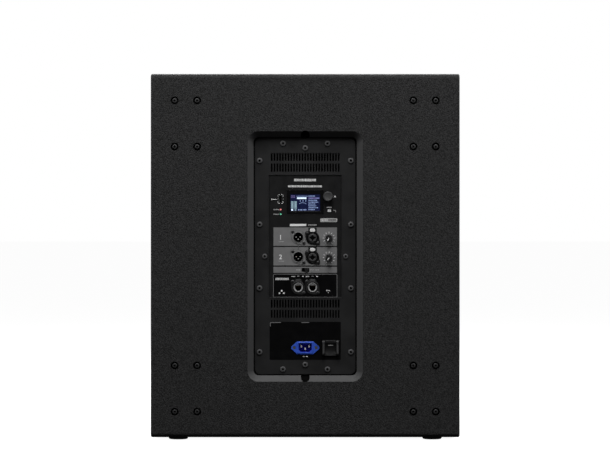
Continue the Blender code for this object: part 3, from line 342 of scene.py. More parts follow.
@shape
def block(bm, low, high, radius=0.0, axis=1, steps=5):
    """A box between two corners, with the four edges along one axis rounded."""
    low, high = Vector(low), Vector(high)
    matrix = Matrix.Translation((low + high) / 2 * MM) @ Matrix.Diagonal((*((high - low) * MM), 1.0))
    verts = bmesh.ops.create_cube(bm, size=1.0, matrix=matrix)["verts"]
    if radius > 0.0:
        edges = {edge for vert in verts for edge in vert.link_edges}
        along = [edge for edge in edges if abs((edge.verts[0].co - edge.verts[1].co)[axis]) > 1e-6]
        along.sort(key=lambda edge: tuple((edge.verts[0].co + edge.verts[1].co) / 2))
        bmesh.ops.bevel(bm, geom=along, offset=radius * MM, segments=steps, profile=0.5, affect="EDGES")


@shape
def slab(bm, u, v, width, height, low_y, high_y, radius=0.0, axis=1, steps=5):
    """A block at a place on the amplifier panel, between two depths."""
    block((-u - width / 2, low_y, AMP_Z + v - height / 2), (-u + width / 2, high_y, AMP_Z + v + height / 2),
          radius, axis, steps, to=bm)


@shape
def bar(bm, u, v, width, height, base=CONTROL_FRONT, radius=0.0, thickness=PRINT):
    """A flat printed bar."""
    slab(u, v, width, height, base, base + thickness, radius, steps=3, to=bm)


@shape
def cylinder(bm, centre, radius, low, high, steps=32, axis=1):
    """A cylinder along one axis, from low to high; centre gives the other two coordinates."""
    turn = {0: Matrix.Rotation(math.pi / 2, 4, "Y"), 1: Matrix.Rotation(-math.pi / 2, 4, "X"), 2: Matrix()}
    middle = list(centre)
    middle.insert(axis, (low + high) / 2)
    bmesh.ops.create_cone(bm, cap_ends=True, segments=steps, radius1=radius * MM, radius2=radius * MM,
                          depth=(high - low) * MM, matrix=Matrix.Translation(Vector(middle) * MM) @ turn[axis])


FACINGS = {"+Z": Matrix(), "+Y": Matrix.Rotation(-math.pi / 2, 4, "X"), "-Y": Matrix.Rotation(math.pi / 2, 4, "X"),
           "+X": Matrix.Rotation(math.pi / 2, 4, "Y"), "-X": Matrix.Rotation(-math.pi / 2, 4, "Y")}


@shape
def lathe(bm, profile, origin, facing="+Y", steps=40, closed=False):
    """Turn (radius, height) points about an axis through origin; heights grow the way it faces."""
    verts = [bm.verts.new((radius * MM, 0.0, height * MM)) for radius, height in profile]
    edges = [bm.edges.new(pair) for pair in zip(verts, verts[1:])]
    if closed:
        edges.append(bm.edges.new((verts[-1], verts[0])))
    before = set(bm.verts) - set(verts)
    bmesh.ops.spin(bm, geom=verts + edges, cent=(0, 0, 0), axis=(0, 0, 1), angle=2 * math.pi, steps=steps,
                   use_duplicate=False)
    bmesh.ops.remove_doubles(bm, verts=[vert for vert in bm.verts if vert not in before], dist=0.002 * MM)
    bmesh.ops.transform(bm, matrix=Matrix.Translation(Vector(origin) * MM) @ FACINGS[facing],
                        verts=[vert for vert in bm.verts if vert not in before])


@shape
def prism(bm, outline, low_y, high_y, centre=(0.0, 0.0), scale=1.0):
    """A flat outline of points about a place on the amplifier panel, drawn out between two depths."""
    verts = [bm.verts.new(Vector((-centre[0] - across * scale, low_y, AMP_Z + centre[1] + up * scale)) * MM)
             for across, up in outline]
    bmesh.ops.translate(bm, vec=Vector((0, high_y - low_y, 0)) * MM, verts=raised(bm, [bm.faces.new(verts)]))


@shape
def tick(bm, u, v, reach, width, length, angle, base, thickness=PRINT):
    """A printed tick at a reach from (u, v), turned clockwise from straight up by angle in degrees."""
    middle = Matrix.Translation(Vector((-u, base + thickness / 2, AMP_Z + v)) * MM)
    matrix = middle @ Matrix.Rotation(math.radians(-angle), 4, "Y") @ Matrix.Translation((0, 0, reach * MM))
    bmesh.ops.create_cube(bm, size=1.0, matrix=matrix @ Matrix.Diagonal((width * MM, thickness * MM, length * MM, 1)))


@shape
def outline_ring(bm, u, v, width, height, line, base, thickness, radius):
    """A rounded rectangular outline, as a ring of one line's width."""
    steps = 5
    loops = []
    for depth in (base, base + thickness):
        for inset in (0.0, line):
            corner = max(radius - inset, 0.2)
            loop = []
            for quarter in range(4):
                centre_u = (width / 2 - inset - corner) * (1 if quarter in (0, 3) else -1)
                centre_v = (height / 2 - inset - corner) * (1 if quarter in (0, 1) else -1)
                for step in range(steps + 1):
                    angle = math.pi / 2 * (quarter + step / steps)
                    loop.append(bm.verts.new(Vector((-u - centre_u - corner * math.cos(angle), depth,
                                                     AMP_Z + v + centre_v + corner * math.sin(angle))) * MM))
            loops.append(loop)
    outer_low, inner_low, outer_high, inner_high = loops
    for first, second in ((outer_low, outer_high), (outer_high, inner_high), (inner_high, inner_low),
                          (inner_low, outer_low)):
        join_loops(bm, first, second)


@shape
def fluted(bm, centre, radius, top_radius, low, high, flutes, depth):
    """A knob's body along +Y whose side carries rounded flutes, with a chamfered top."""
    count = flutes * 6
    chamfer = 0.8
    loops = []
    for level, size, groove in ((low, radius, depth), (high - chamfer, top_radius, depth),
                                (high, top_radius - chamfer, depth * 0.4)):
        loop = []
        for index in range(count):
            angle = 2 * math.pi * index / count
            reach = size - groove * max(0.0, math.cos(flutes * angle)) ** 2
            loop.append(bm.verts.new(Vector((centre[0] + reach * math.cos(angle), level,
                                             centre[1] + reach * math.sin(angle))) * MM))
        loops.append(loop)
    join_loops(bm, loops[0], loops[1])
    join_loops(bm, loops[1], loops[2])
    bm.faces.new(loops[0])
    bm.faces.new(loops[2])


@shape
def number(bm, text, u, v, height, base):
    """Raised figures centred on a place on the amplifier panel."""
    curve = bpy.data.curves.new("label", "FONT")
    curve.body = text
    curve.size = height * 1.35 * MM
    curve.extrude = PRINT * MM / 2
    curve.offset = 0.12 * MM
    curve.align_x = "CENTER"
    curve.align_y = "CENTER"
    label = bpy.data.objects.new("label", curve)
    bpy.context.scene.collection.objects.link(label)
    mesh = evaluated_mesh(label)
    bpy.data.objects.remove(label)
    turn = Matrix(((-1, 0, 0), (0, 0, 1), (0, 1, 0))).to_4x4()
    mesh.transform(Matrix.Translation(Vector((-u, base + PRINT / 2, AMP_Z + v)) * MM) @ turn)
    bm.from_mesh(mesh)
    bpy.data.meshes.remove(mesh)


def dashes(kinds, kind, u, v, width, height, seed, base=CONTROL_FRONT):
    """A row of short bars that stands for a printed caption."""
    dice = random.Random(seed)
    place = u - width / 2
    end = u + width / 2
    while place < end - 0.6:
        length = min(dice.uniform(0.9, 1.9), end - place)
        bar(place + length / 2, v, length, height, base, to=kinds[kind])
        place += length + 0.75


# ---- pieces
def evaluated_mesh(obj):
    bpy.context.view_layer.update()
    return bpy.data.meshes.new_from_object(obj.evaluated_get(bpy.context.evaluated_depsgraph_get()))


def modify(obj, kind, **settings):
    modifier = obj.modifiers.new(kind, kind)
    for key, value in settings.items():
        setattr(modifier, key, value)


def apply_modifiers(obj):
    mesh = evaluated_mesh(obj)
    obj.modifiers.clear()
    obj.data = mesh
    mesh.name = obj.name


def raw_object(name, bm):
    bmesh.ops.recalc_face_normals(bm, faces=bm.faces)
    mesh = bpy.data.meshes.new(name)
    bm.to_mesh(mesh)
    bm.free()
    obj = bpy.data.objects.new(name, mesh)
    bpy.context.scene.collection.objects.link(obj)
    return obj


def paint(obj, name):
    material, slot = MATERIALS[name]
    obj.data.materials.clear()
    obj.data.materials.append(material)


def piece(name, bm, material, body="cabinet", replaces=(), cuts=(), adds=(), bevel=0.0, steps=2, smooth=38.0):
    """Finish a shown piece: join and cut it, soften its edges, shade it and hand it to its body."""
    obj = raw_object(name, bm)
    helpers = []
    for others, operation in ((adds, "UNION"), (cuts, "DIFFERENCE")):
        for other in others:
            helpers.append(raw_object(f"{name}_helper", other))
            modify(obj, "BOOLEAN", operation=operation, solver="EXACT", object=helpers[-1])
    if bevel:
        modify(obj, "BEVEL", width=bevel * MM, segments=steps, limit_method="ANGLE", angle_limit=math.radians(35),
               use_clamp_overlap=True)
    if obj.modifiers:
        apply_modifiers(obj)
    for helper in helpers:
        bpy.data.objects.remove(helper)
    obj.data.shade_smooth()
    obj.data.set_sharp_from_angle(angle=math.radians(smooth))
    if helpers or bevel:
        modify(obj, "WEIGHTED_NORMAL", keep_sharp=True)
        apply_modifiers(obj)
    paint(obj, material)
    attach(obj, body)
    if replaces:
        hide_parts(*replaces)
    return obj


def screws(name, material, places, head, socket, facing="+Y", steps=20, shade_discs=None, shade_discs_name=None):
    """Heads turned from one profile, each with a hexagonal socket; near-black discs on the sockets' floors are painted
    shade.

    A place is a head's seat, and perhaps a scale for its radii. socket and the painted-shade discs are a radius and two
    heights over the seat, measured the way the heads face.
    """
    heads, sockets, floors = bmesh.new(), bmesh.new(), bmesh.new()
    axis = "XYZ".index(facing[1])
    sign = 1 if facing[0] == "+" else -1
    for *place, scale in [(*place, 1.0)[:4] for place in places]:
        lathe([(radius * scale, height) for radius, height in head], place, facing, steps, to=heads)
        centre = place[:axis] + place[axis + 1:]
        for mesh, hexagon in ((sockets, socket), (floors, shade_discs)):
            if hexagon:
                ends = sorted(place[axis] + sign * height for height in hexagon[1:])
                cylinder(centre, hexagon[0] * scale, *ends, 6, axis, to=mesh)
    piece(name, heads, material, cuts=[sockets])
    # The discs are near-black: painted shade in the sockets.
    if shade_discs:
        piece(shade_discs_name, floors, "painted_shade_black")
    else:
        floors.free()


# ---- camera, light and floor
def make_stage():
    """A pale floor, a white surround, and soft lamps above and beside the cabinet, at the rear and the front.

    The floor and the surround throw no light on the object, which keeps its blacks deep.
    """
    bm = bmesh.new()
    bmesh.ops.create_grid(bm, x_segments=1, y_segments=1, size=60.0)
    floor = raw_object("floor", bm)
    material = surface("floor", 0.2, 0.8, grain=0.0, mottle=0.02, patch=400.0)
    feed(material.node_tree, material.node_tree.nodes["Principled BSDF"],
         {"Emission Color": (1.0, 1.0, 1.0, 1.0), "Emission Strength": 0.965})
    floor.data.materials.append(material)
    floor.visible_diffuse = False
    floor.visible_glossy = False
    world = bpy.data.worlds.new("studio")
    world.use_nodes = True
    tree = world.node_tree
    seen = add_node(tree, "LightPath", "Is Camera Ray", {})
    feed(tree, tree.nodes["Background"], {"Color": (1.0, 1.0, 1.0, 1.0),
                                          "Strength": remap(tree, seen, 0.035, 1.0, 0.0, 1.0)})
    bpy.context.scene.world = world
    for end, top_power, side_power in ((1, 50.0, 18.0), (-1, 110.0, 60.0)):
        add_lamp("top", (0.0, end * 1.6, 2.45), top_power)
        for side in (-1, 1):
            add_lamp("corner", (side * 2.1, end * 1.6, 1.9), side_power)
    for side in (-1, 1):
        add_lamp("side", (side * 2.6, -0.5, 1.7), 60.0)
    bpy.context.scene.view_settings.view_transform = "Standard"


def add_lamp(name, place, power):
    """A square lamp aimed at the middle of the rear or the front face, whichever is nearer."""
    lamp = bpy.data.lights.new(name, "AREA")
    lamp.energy = power
    lamp.size = 1.2
    lamp_object = bpy.data.objects.new(name, lamp)
    lamp_object.location = place
    aim = Vector((0.0, math.copysign(BACK * MM, place[1]), 0.33)) - Vector(place)
    lamp_object.rotation_euler = aim.to_track_quat("-Z", "Y").to_euler()
    bpy.context.scene.collection.objects.link(lamp_object)


def make_camera():
    """Level and square to the rear face, through a long lens."""
    distance = 5.0
    view_width = 1.1150
    camera = bpy.data.cameras.new("camera")
    camera.sensor_width = 36.0
    camera.lens = camera.sensor_width * distance / view_width
    camera_object = bpy.data.objects.new("camera", camera)
    camera_object.location = (0.0004, BACK * MM + distance, 0.3945)
    camera_object.rotation_euler = (math.pi / 2, 0.0, math.pi)
    bpy.context.scene.collection.objects.link(camera_object)
    bpy.context.scene.camera = camera_object


# ---- cabinet
def round_edges(bm, radius, chosen):
    """Round the edges whose ends, in order of x, pass the test chosen."""
    edges = [edge for edge in bm.edges if chosen(*sorted((vert.co for vert in edge.verts), key=lambda co: co.x))]
    bmesh.ops.bevel(bm, geom=edges, offset=radius * MM, segments=6, profile=0.5, affect="EDGES")


def make_cabinet():
    """One coated shell for the five outer boards, whose recess has a smoother coat and whose notch walls are near-black
    as painted shade.
    """
    bm = block(CABINET_LOW, CABINET_HIGH)
    side = (CABINET_HIGH.x - 1) * MM
    round_edges(bm, REAR_EDGE_RADIUS, lambda low, high: low.x < 0 < high.x and low.y > 0)
    round_edges(bm, EDGE_RADIUS, lambda low, high: low.x < 0 < high.x and high.y < 0)
    round_edges(bm, EDGE_RADIUS, lambda low, high: abs(low.x - high.x) < MM and abs(low.x) > side)
    floor = INNER_HIGH.y - OVERSHOOT
    inside = block((INNER_LOW.x, INNER_LOW.y - OVERSHOOT, INNER_LOW.z), INNER_HIGH)
    window = slab(0, 0, *RECESS_FLOOR, floor, PANEL_FRONT + 0.5, RECESS_RADIUS - RECESS_SLOPE_WIDTH, steps=8)
    notches, bores = bmesh.new(), bmesh.new()
    inner = 0.87 * NOTCH_REACH
    for sign in (-1, 1):
        slab(0, sign * (inner + NOTCH_REACH) / 2, 2 * NOTCH_RADIUS, NOTCH_REACH - inner, floor, BACK + OVERSHOOT,
             NOTCH_RADIUS - 0.01, steps=10, to=notches)
    for centre in CASTORS:
        cylinder(centre, BORE_RADIUS, BACK - BORE_DEPTH, BACK + OVERSHOOT, 28, to=bores)
    cuts = [inside, window, recess_slope(), notches, bores] + handle_cuts() + pole_cuts()
    shell = piece("cabinet_shell", bm, "coating", cuts=cuts, bevel=1.0, steps=3, replaces=(
        "top_panel", "bottom_panel", "side_panel_left", "side_panel_right", "rear_panel"))
    shell.data.materials.append(MATERIALS["coating_smooth"][0])
    # Third material: near-black for the notch walls, painted shade.
    shell.data.materials.append(MATERIALS["black_wood_and_shade"][0])
    margin = 1.5
    for face in shell.data.polygons:
        centre = face.center / MM
        up = abs(centre.z - AMP_Z)
        in_recess = abs(centre.x) < RECESS[0] / 2 + margin and up < RECESS[1] / 2 + margin
        if in_recess and INNER_HIGH.y - 1 < centre.y and face.normal.y < 0.97:
            # Notch walls get the near-black material: painted shade where the lamps would light them.
            notch_shade_mask = abs(centre.x) < NOTCH_RADIUS + 0.1 and face.normal.y < 0.3 and up > NOTCH_REACH * 0.9
            face.material_index = 2 if notch_shade_mask else 1


def recess_slope():
    """A cutter that widens from the recess's floor to its mouth, and a little beyond."""
    beyond = 1.0
    spread = 2 * beyond * RECESS_SLOPE_WIDTH / (BACK - PANEL_FRONT)
    mouth = [size + spread for size in RECESS]
    low_radius = RECESS_RADIUS - RECESS_SLOPE_WIDTH + 0.3
    ratio = low_radius / RECESS_RADIUS
    bm = slab(0, 0, *mouth, PANEL_FRONT, BACK + beyond, RECESS_RADIUS, steps=8)
    for vert in bm.verts:
        if vert.co.y < (PANEL_FRONT + 0.1) * MM:
            place = vert.co.x, vert.co.z - AMP_Z * MM
            x, up = [math.copysign((low + 0.6) / 2 - low_radius + (abs(at) / MM - high / 2 + RECESS_RADIUS) * ratio, at)
                     for low, high, at in zip(RECESS_FLOOR, mouth, place)]
            vert.co.x, vert.co.z = x * MM, (AMP_Z + up) * MM
    return bm


def make_castor_screws():
    """Button-head screws with a washer, sunk in the bores; the washers are near-black as painted shade in the bores."""
    seat = BACK - BORE_DEPTH
    washers = bmesh.new()
    for x, z in CASTORS:
        lathe([(6.6, 0.0), (6.6, 0.9), (6.3, 1.2), (3.0, 1.2), (3.0, 0.0)], (x, seat, z), steps=28, closed=True,
              to=washers)
    # Near-black washers: painted shade on the bores' floors.
    piece("castor_washers_bore_shade", washers, "washer_bore_shade")
    # The castor screws' sockets get near-black discs: painted shade.
    screws("castor_screws", "castor_screw", [(x, seat + 1.0, z) for x, z in CASTORS],
           [(0.0, 0.0), (4.3, 0.0), (4.3, 2.6), (4.1, 3.3), (3.6, 3.8), (2.9, 3.9), (0.0, 3.9)], (2.3, 1.6, 5.0),
           steps=28, shade_discs=(2.2, 1.5, 3.4), shade_discs_name="castor_screw_shade")


# ---- handles, pole socket and feet
def handle_block(node, length, height, outer, inner, radius, steps=5):
    """A block on a handle's middle, between two depths from the side board's face."""
    low, high = node_box(node)
    sign = 1 if high.x > 0 else -1
    middle = (low + high) / 2
    ends = sorted(sign * (CABINET_HIGH.x - depth) for depth in (outer, inner))
    return block((ends[0], middle.y - length / 2, middle.z - height / 2),
                 (ends[1], middle.y + length / 2, middle.z + height / 2), radius, 0, steps)


def handle_cuts():
    slack = 0.6
    return [handle_block(node, length + slack, height + slack, -OVERSHOOT, depth, radius) for node in HANDLES
            for (length, height), depth, radius in ((HANDLE_FLANGE, FLANGE_THICKNESS + 0.3, 14.3),
                                                    (HANDLE_CUP, 30, 16.3))]


def make_handles():
    """Each handle is a flanged cup with a ribbed bar across its mouth and four screws."""
    length, height = HANDLE_CUP
    wall = 3.0
    reach = length / 2 - wall + 0.5
    ribs = 18
    pitch = 2 * (reach - 10) / ribs
    profile = [(0.0, reach), (9.8, reach), (9.8, reach - 9)]
    for rib in range(ribs):
        top = reach - 10 - rib * pitch
        profile += [(radius, top - part * pitch) for radius, part in ((8.6, 0.2), (9.9, 0.45), (9.9, 0.75), (8.6, 1.0))]
    profile += [(9.8, 9 - reach), (9.8, -reach), (0.0, -reach)]
    for node in HANDLES:
        low, high = node_box(node)
        sign = 1 if high.x > 0 else -1
        middle = (low + high) / 2
        flange = handle_block(node, *HANDLE_FLANGE, 0.0, FLANGE_THICKNESS, 14.0, 8)
        cup = handle_block(node, *HANDLE_CUP, 1.0, HANDLE_DEPTH, 16.0, 8)
        hollow = handle_block(node, length - 2 * wall, height - 2 * wall, -OVERSHOOT, HANDLE_DEPTH - wall, 13.0, 8)
        piece(node.replace("handle", "handle_cup"), flange, "handle", adds=[cup], cuts=[hollow], bevel=1.2,
              replaces=(node,))
        handle_bar = lathe(profile, (sign * (CABINET_HIGH.x - 12.0), middle.y, middle.z), "+Y", 28)
        piece(node.replace("handle", "handle_bar"), handle_bar, "grip", smooth=50)
        places = [(sign * (CABINET_HIGH.x - 1.6), middle.y + across * 91.0, middle.z + up * 50.0)
                  for across in (-1, 1) for up in (-1, 1)]
        screws(node.replace("handle", "handle_screws"), "screw", places,
               [(0.0, 0.0), (3.9, 0.0), (3.6, 0.8), (2.6, 1.35), (0.0, 1.5)], (1.7, 0.6, 4.0),
               "+X" if sign > 0 else "-X")


def pole_cuts():
    top = CABINET_HIGH.z
    return [cylinder((0.0, 0.0), 45.3, top - FLANGE_THICKNESS - 0.3, top + OVERSHOOT, 64, 2),
            cylinder((0.0, 0.0), 21.3, top - 40, top + OVERSHOOT, 48, 2)]


def make_pole_socket():
    low, high = node_box("pole_socket_top")
    top = high.z
    profile = [(0.0, low.z + 3), (18.0, low.z + 3), (18.0, top - 5.0), (18.6, top - 1.5), (20.0, top),
               (43.6, top), (45.0, top - 1.2), (45.0, top - 3.0), (21.0, top - 3.0), (21.0, low.z), (0.0, low.z)]
    piece("pole_socket_flange", lathe(profile, (0, 0, 0), "+Z", 64), "pole_black", replaces=("pole_socket_top",))
    angles = [math.pi * (quarter / 2 + 0.25) for quarter in range(4)]
    screws("pole_socket_screws", "screw", [(34.0 * math.cos(angle), 34.0 * math.sin(angle), top) for angle in angles],
           [(0.0, -1.6), (4.2, -1.6), (3.9, -0.9), (2.6, -0.35), (0.0, -0.2)], (1.8, -1.2, 3.0), "+Z")


def make_feet():
    top = CABINET_LOW.z
    for name in [f"foot_{end}_{side}" for end in ("front", "rear") for side in ("left", "right")]:
        low, high = node_box(name)
        origin = ((low.x + high.x) / 2, (low.y + high.y) / 2, 0.0)
        radius = (high.x - low.x) / 2
        pad = lathe([(0.0, top), (radius, top), (radius, 3.0), (radius - 0.5, 1.4), (radius - 1.5, 0.4),
                     (radius - 3.0, 0.0), (9.0, 0.0), (8.2, 0.8), (8.2, 3.0), (0.0, 3.0)], origin, "+Z", 40)
        piece(name.replace("foot", "foot_pad"), pad, "rubber", replaces=(name,))
        screws(name.replace("foot", "foot_screw"), "screw", [origin],
               [(0.0, 3.2), (4.4, 3.2), (4.2, 2.4), (3.0, 1.8), (0.0, 1.6)], (1.9, 0.0, 2.6), "+Z")


# ---- grille
def make_grille():
    """A sheet of hexagonal holes inside a folded rim, held by screws."""
    low, high = node_box("front_grille")
    sheet = 1.4
    face = low.y + 0.6
    pitch = 9.0
    rim = 9.0
    corner = pitch / math.sqrt(3)
    hole_corner = 7.0 / math.sqrt(3)
    columns = int((high.x - low.x - 6.0) / pitch) - 1
    rows = int((high.z - low.z - 6.0) / (1.5 * corner)) - 1
    centre_z = (low.z + high.z) / 2
    turns = [math.pi / 6 + math.pi / 3 * step for step in range(6)]
    bm = bmesh.new()
    for row in range(rows):
        z = centre_z + (row - (rows - 1) / 2) * 1.5 * corner
        for column in range(columns):
            x = (column - (columns - 1) / 2 + (0.25 if row % 2 else -0.25)) * pitch
            join_loops(bm, *([bm.verts.new(((x + reach * math.cos(turn)) * MM, face * MM,
                                            (z + reach * math.sin(turn)) * MM)) for turn in turns]
                             for reach in (corner, hole_corner)))
    bmesh.ops.remove_doubles(bm, verts=bm.verts, dist=0.01 * MM)
    bmesh.ops.translate(bm, vec=Vector((0, sheet, 0)) * MM, verts=raised(bm, list(bm.faces), True))
    piece("grille_sheet", bm, "grille", replaces=("front_grille",))
    tray = block(low, high, 5.0)
    mouth = block((low.x + rim, low.y - OVERSHOOT, low.z + rim), (high.x - rim, high.y + OVERSHOOT, high.z - rim), 4.0)
    hollow = block((low.x + 1.6, low.y + 1.6, low.z + 1.6), (high.x - 1.6, high.y + OVERSHOOT, high.z - 1.6), 3.5)
    piece("grille_rim", tray, "grille", cuts=[mouth, hollow], bevel=0.8)
    inset = 4.6
    places = [(side * (high.x - inset), low.y, z) for side in (-1, 1) for z in (low.z + 60, centre_z, high.z - 60)]
    places += [(x, low.y, z) for x in (-150.0, 150.0) for z in (low.z + inset, high.z - inset)]
    screws("grille_screws", "screw_black", places, [(0.0, -0.2), (3.2, -0.2), (3.0, 0.5), (2.2, 1.0), (0.0, 1.2)],
           (1.4, 0.3, 3.0), "-Y")


def make_foam():
    """A soft sheet with a slightly uneven face, close behind the grille."""
    low, high = node_box("grille_foam")
    inset = 2.5
    thickness = 4.0
    span_x = (high.x - low.x) / 2 - inset
    span_z = (high.z - low.z) / 2 - inset
    centre_z = (low.z + high.z) / 2
    bm = bmesh.new()
    bmesh.ops.create_grid(bm, x_segments=64, y_segments=76, size=1.0)
    for vert in bm.verts:
        x = vert.co.x * span_x
        z = centre_z + vert.co.y * span_z
        wave = 0.22 * math.sin(x / 23.0 + 1.3 * math.sin(z / 41.0)) + 0.18 * math.sin(z / 17.0)
        edge = min(1.0, (1.0 - max(abs(vert.co.x), abs(vert.co.y))) * 12.0)
        vert.co = Vector((x, low.y - (0.02 + edge * (0.12 + 0.3 * wave)) * 0.5, z)) * MM
    for vert in raised(bm, list(bm.faces), True):
        vert.co.y = (low.y + thickness) * MM
    foam = piece("foam_sheet", bm, "foam", replaces=("grille_foam",))


# ---- amplifier panel
def make_amp_panel():
    """The slotted steel panel, whose slots' walls are near-black as painted shade, the ridge round the control panel,
    the panel screws and the dust filter.
    """
    slack = 0.6
    depths = (PANEL_LOW.y - 2, PANEL_FRONT + 2)
    plate = slab(0, 0, PANEL_WIDTH, PANEL_HEIGHT, PANEL_LOW.y, PANEL_FRONT, 9.5, steps=8)
    openings = slab(0, CONTROL_V, CONTROL_WIDTH + slack, CONTROL_HEIGHT + slack, *depths)
    slab(*INLET, *INLET_HOLE, *depths, to=openings)
    slab(*SWITCH, *SWITCH_HOLE, *depths, to=openings)
    for low_v, high_v in VENT_ROWS:
        for index in range(VENT_COUNT):
            slab((index - (VENT_COUNT - 1) / 2) * VENT_PITCH, (low_v + high_v) / 2, VENT_WIDTH, high_v - low_v, *depths,
                 VENT_WIDTH / 2 - 0.2, steps=3, to=openings)
    plate = piece("amp_plate", plate, "panel", cuts=[openings], bevel=0.3, replaces=("amp_panel",))
    # The vent slots' walls get the near-black material: painted shade inside the slots.
    plate.data.materials.append(MATERIALS["painted_shade_black"][0])
    for face in plate.data.polygons:
        x, y, z = face.center / MM
        in_row = any(low_v - 0.5 < z - AMP_Z < high_v + 0.5 for low_v, high_v in VENT_ROWS)
        if in_row and abs(x) < VENT_COUNT * VENT_PITCH / 2 and face.normal.y < 0.5 and y < PANEL_FRONT - 0.2:
            face.material_index = 1
    ridge = outline_ring(0, CONTROL_V, CONTROL_WIDTH + 5.4, CONTROL_HEIGHT + 5.4, 1.3, PANEL_FRONT - 0.3, 0.8, 3.0)
    piece("panel_ridge", ridge, "panel", bevel=0.25)
    # The panel screws' sockets get near-black discs: painted shade.
    screws("panel_screws", "screw", [(-u, PANEL_FRONT, AMP_Z + v, radius) for u, v, radius in PANEL_SCREWS],
           [(0.0, 0.0), (1.0, 0.0), (1.0, 1.4), (0.94, 1.9), (0.8, 2.2), (0.56, 2.3), (0.0, 2.3)], (0.48, 0.9, 5.0),
           steps=28, shade_discs=(0.47, 0.8, 1.9), shade_discs_name="panel_screw_shade")
    dust_filter = bmesh.new()
    for (_, top), (bottom, _) in (VENT_ROWS[:2], VENT_ROWS[2:]):
        bar(0, (bottom + top) / 2, VENT_COUNT * VENT_PITCH + 4.0, top - bottom + 6.0, PANEL_LOW.y - 12.0, 1.0, 2.0,
            to=dust_filter)
    piece("dust_filter", dust_filter, "black_wood_and_shade")


def control_openings(low_y, high_y):
    """Cutters for everything that comes through the control panel."""
    square, rounds = bmesh.new(), bmesh.new()
    for place, size in ((DISPLAY, (67.8, 43.9)), (HOME_BUTTON, (7.0, 5.3)), (USB, (6.2, 13.7)),
                        ((MODE_SWITCH_U, MODE_SLIDER[1]), (13.8, 7.1))):
        slab(*place, *size, low_y, high_y, 0.6, steps=2, to=square)
    for places, top in ((INPUTS, 18.3), (NETWORKS, 16.7)):
        for u, v in places:
            slab(u, v + top / 2, 15.2, top, low_y, high_y, to=square)
    for places, radius, steps in ((OUTPUTS + INPUTS, 12.0, 40), (NETWORKS, 12.3, 40), (LEVELS + [ENCODER], 4.0, 24)):
        for u, v in places:
            cylinder((-u, AMP_Z + v), radius, low_y, high_y, steps, to=rounds)
    return [square, rounds]


def make_control_panel():
    """The plate, and the two channel strips and the switch strip, printed grey."""
    plate = slab(0, CONTROL_V, CONTROL_WIDTH, CONTROL_HEIGHT, CONTROL_LOW.y, CONTROL_FRONT)
    piece("control_plate", plate, "control", cuts=control_openings(CONTROL_LOW.y - 2, CONTROL_FRONT + 2), bevel=0.2,
          replaces=("control_panel",))
    bm = bmesh.new()
    for top, bottom in STRIPS:
        bar(0, (top + bottom) / 2, STRIP_WIDTH, top - bottom, to=bm)
    piece("channel_strips", bm, "strip", cuts=control_openings(CONTROL_FRONT - 1, CONTROL_FRONT + 2))


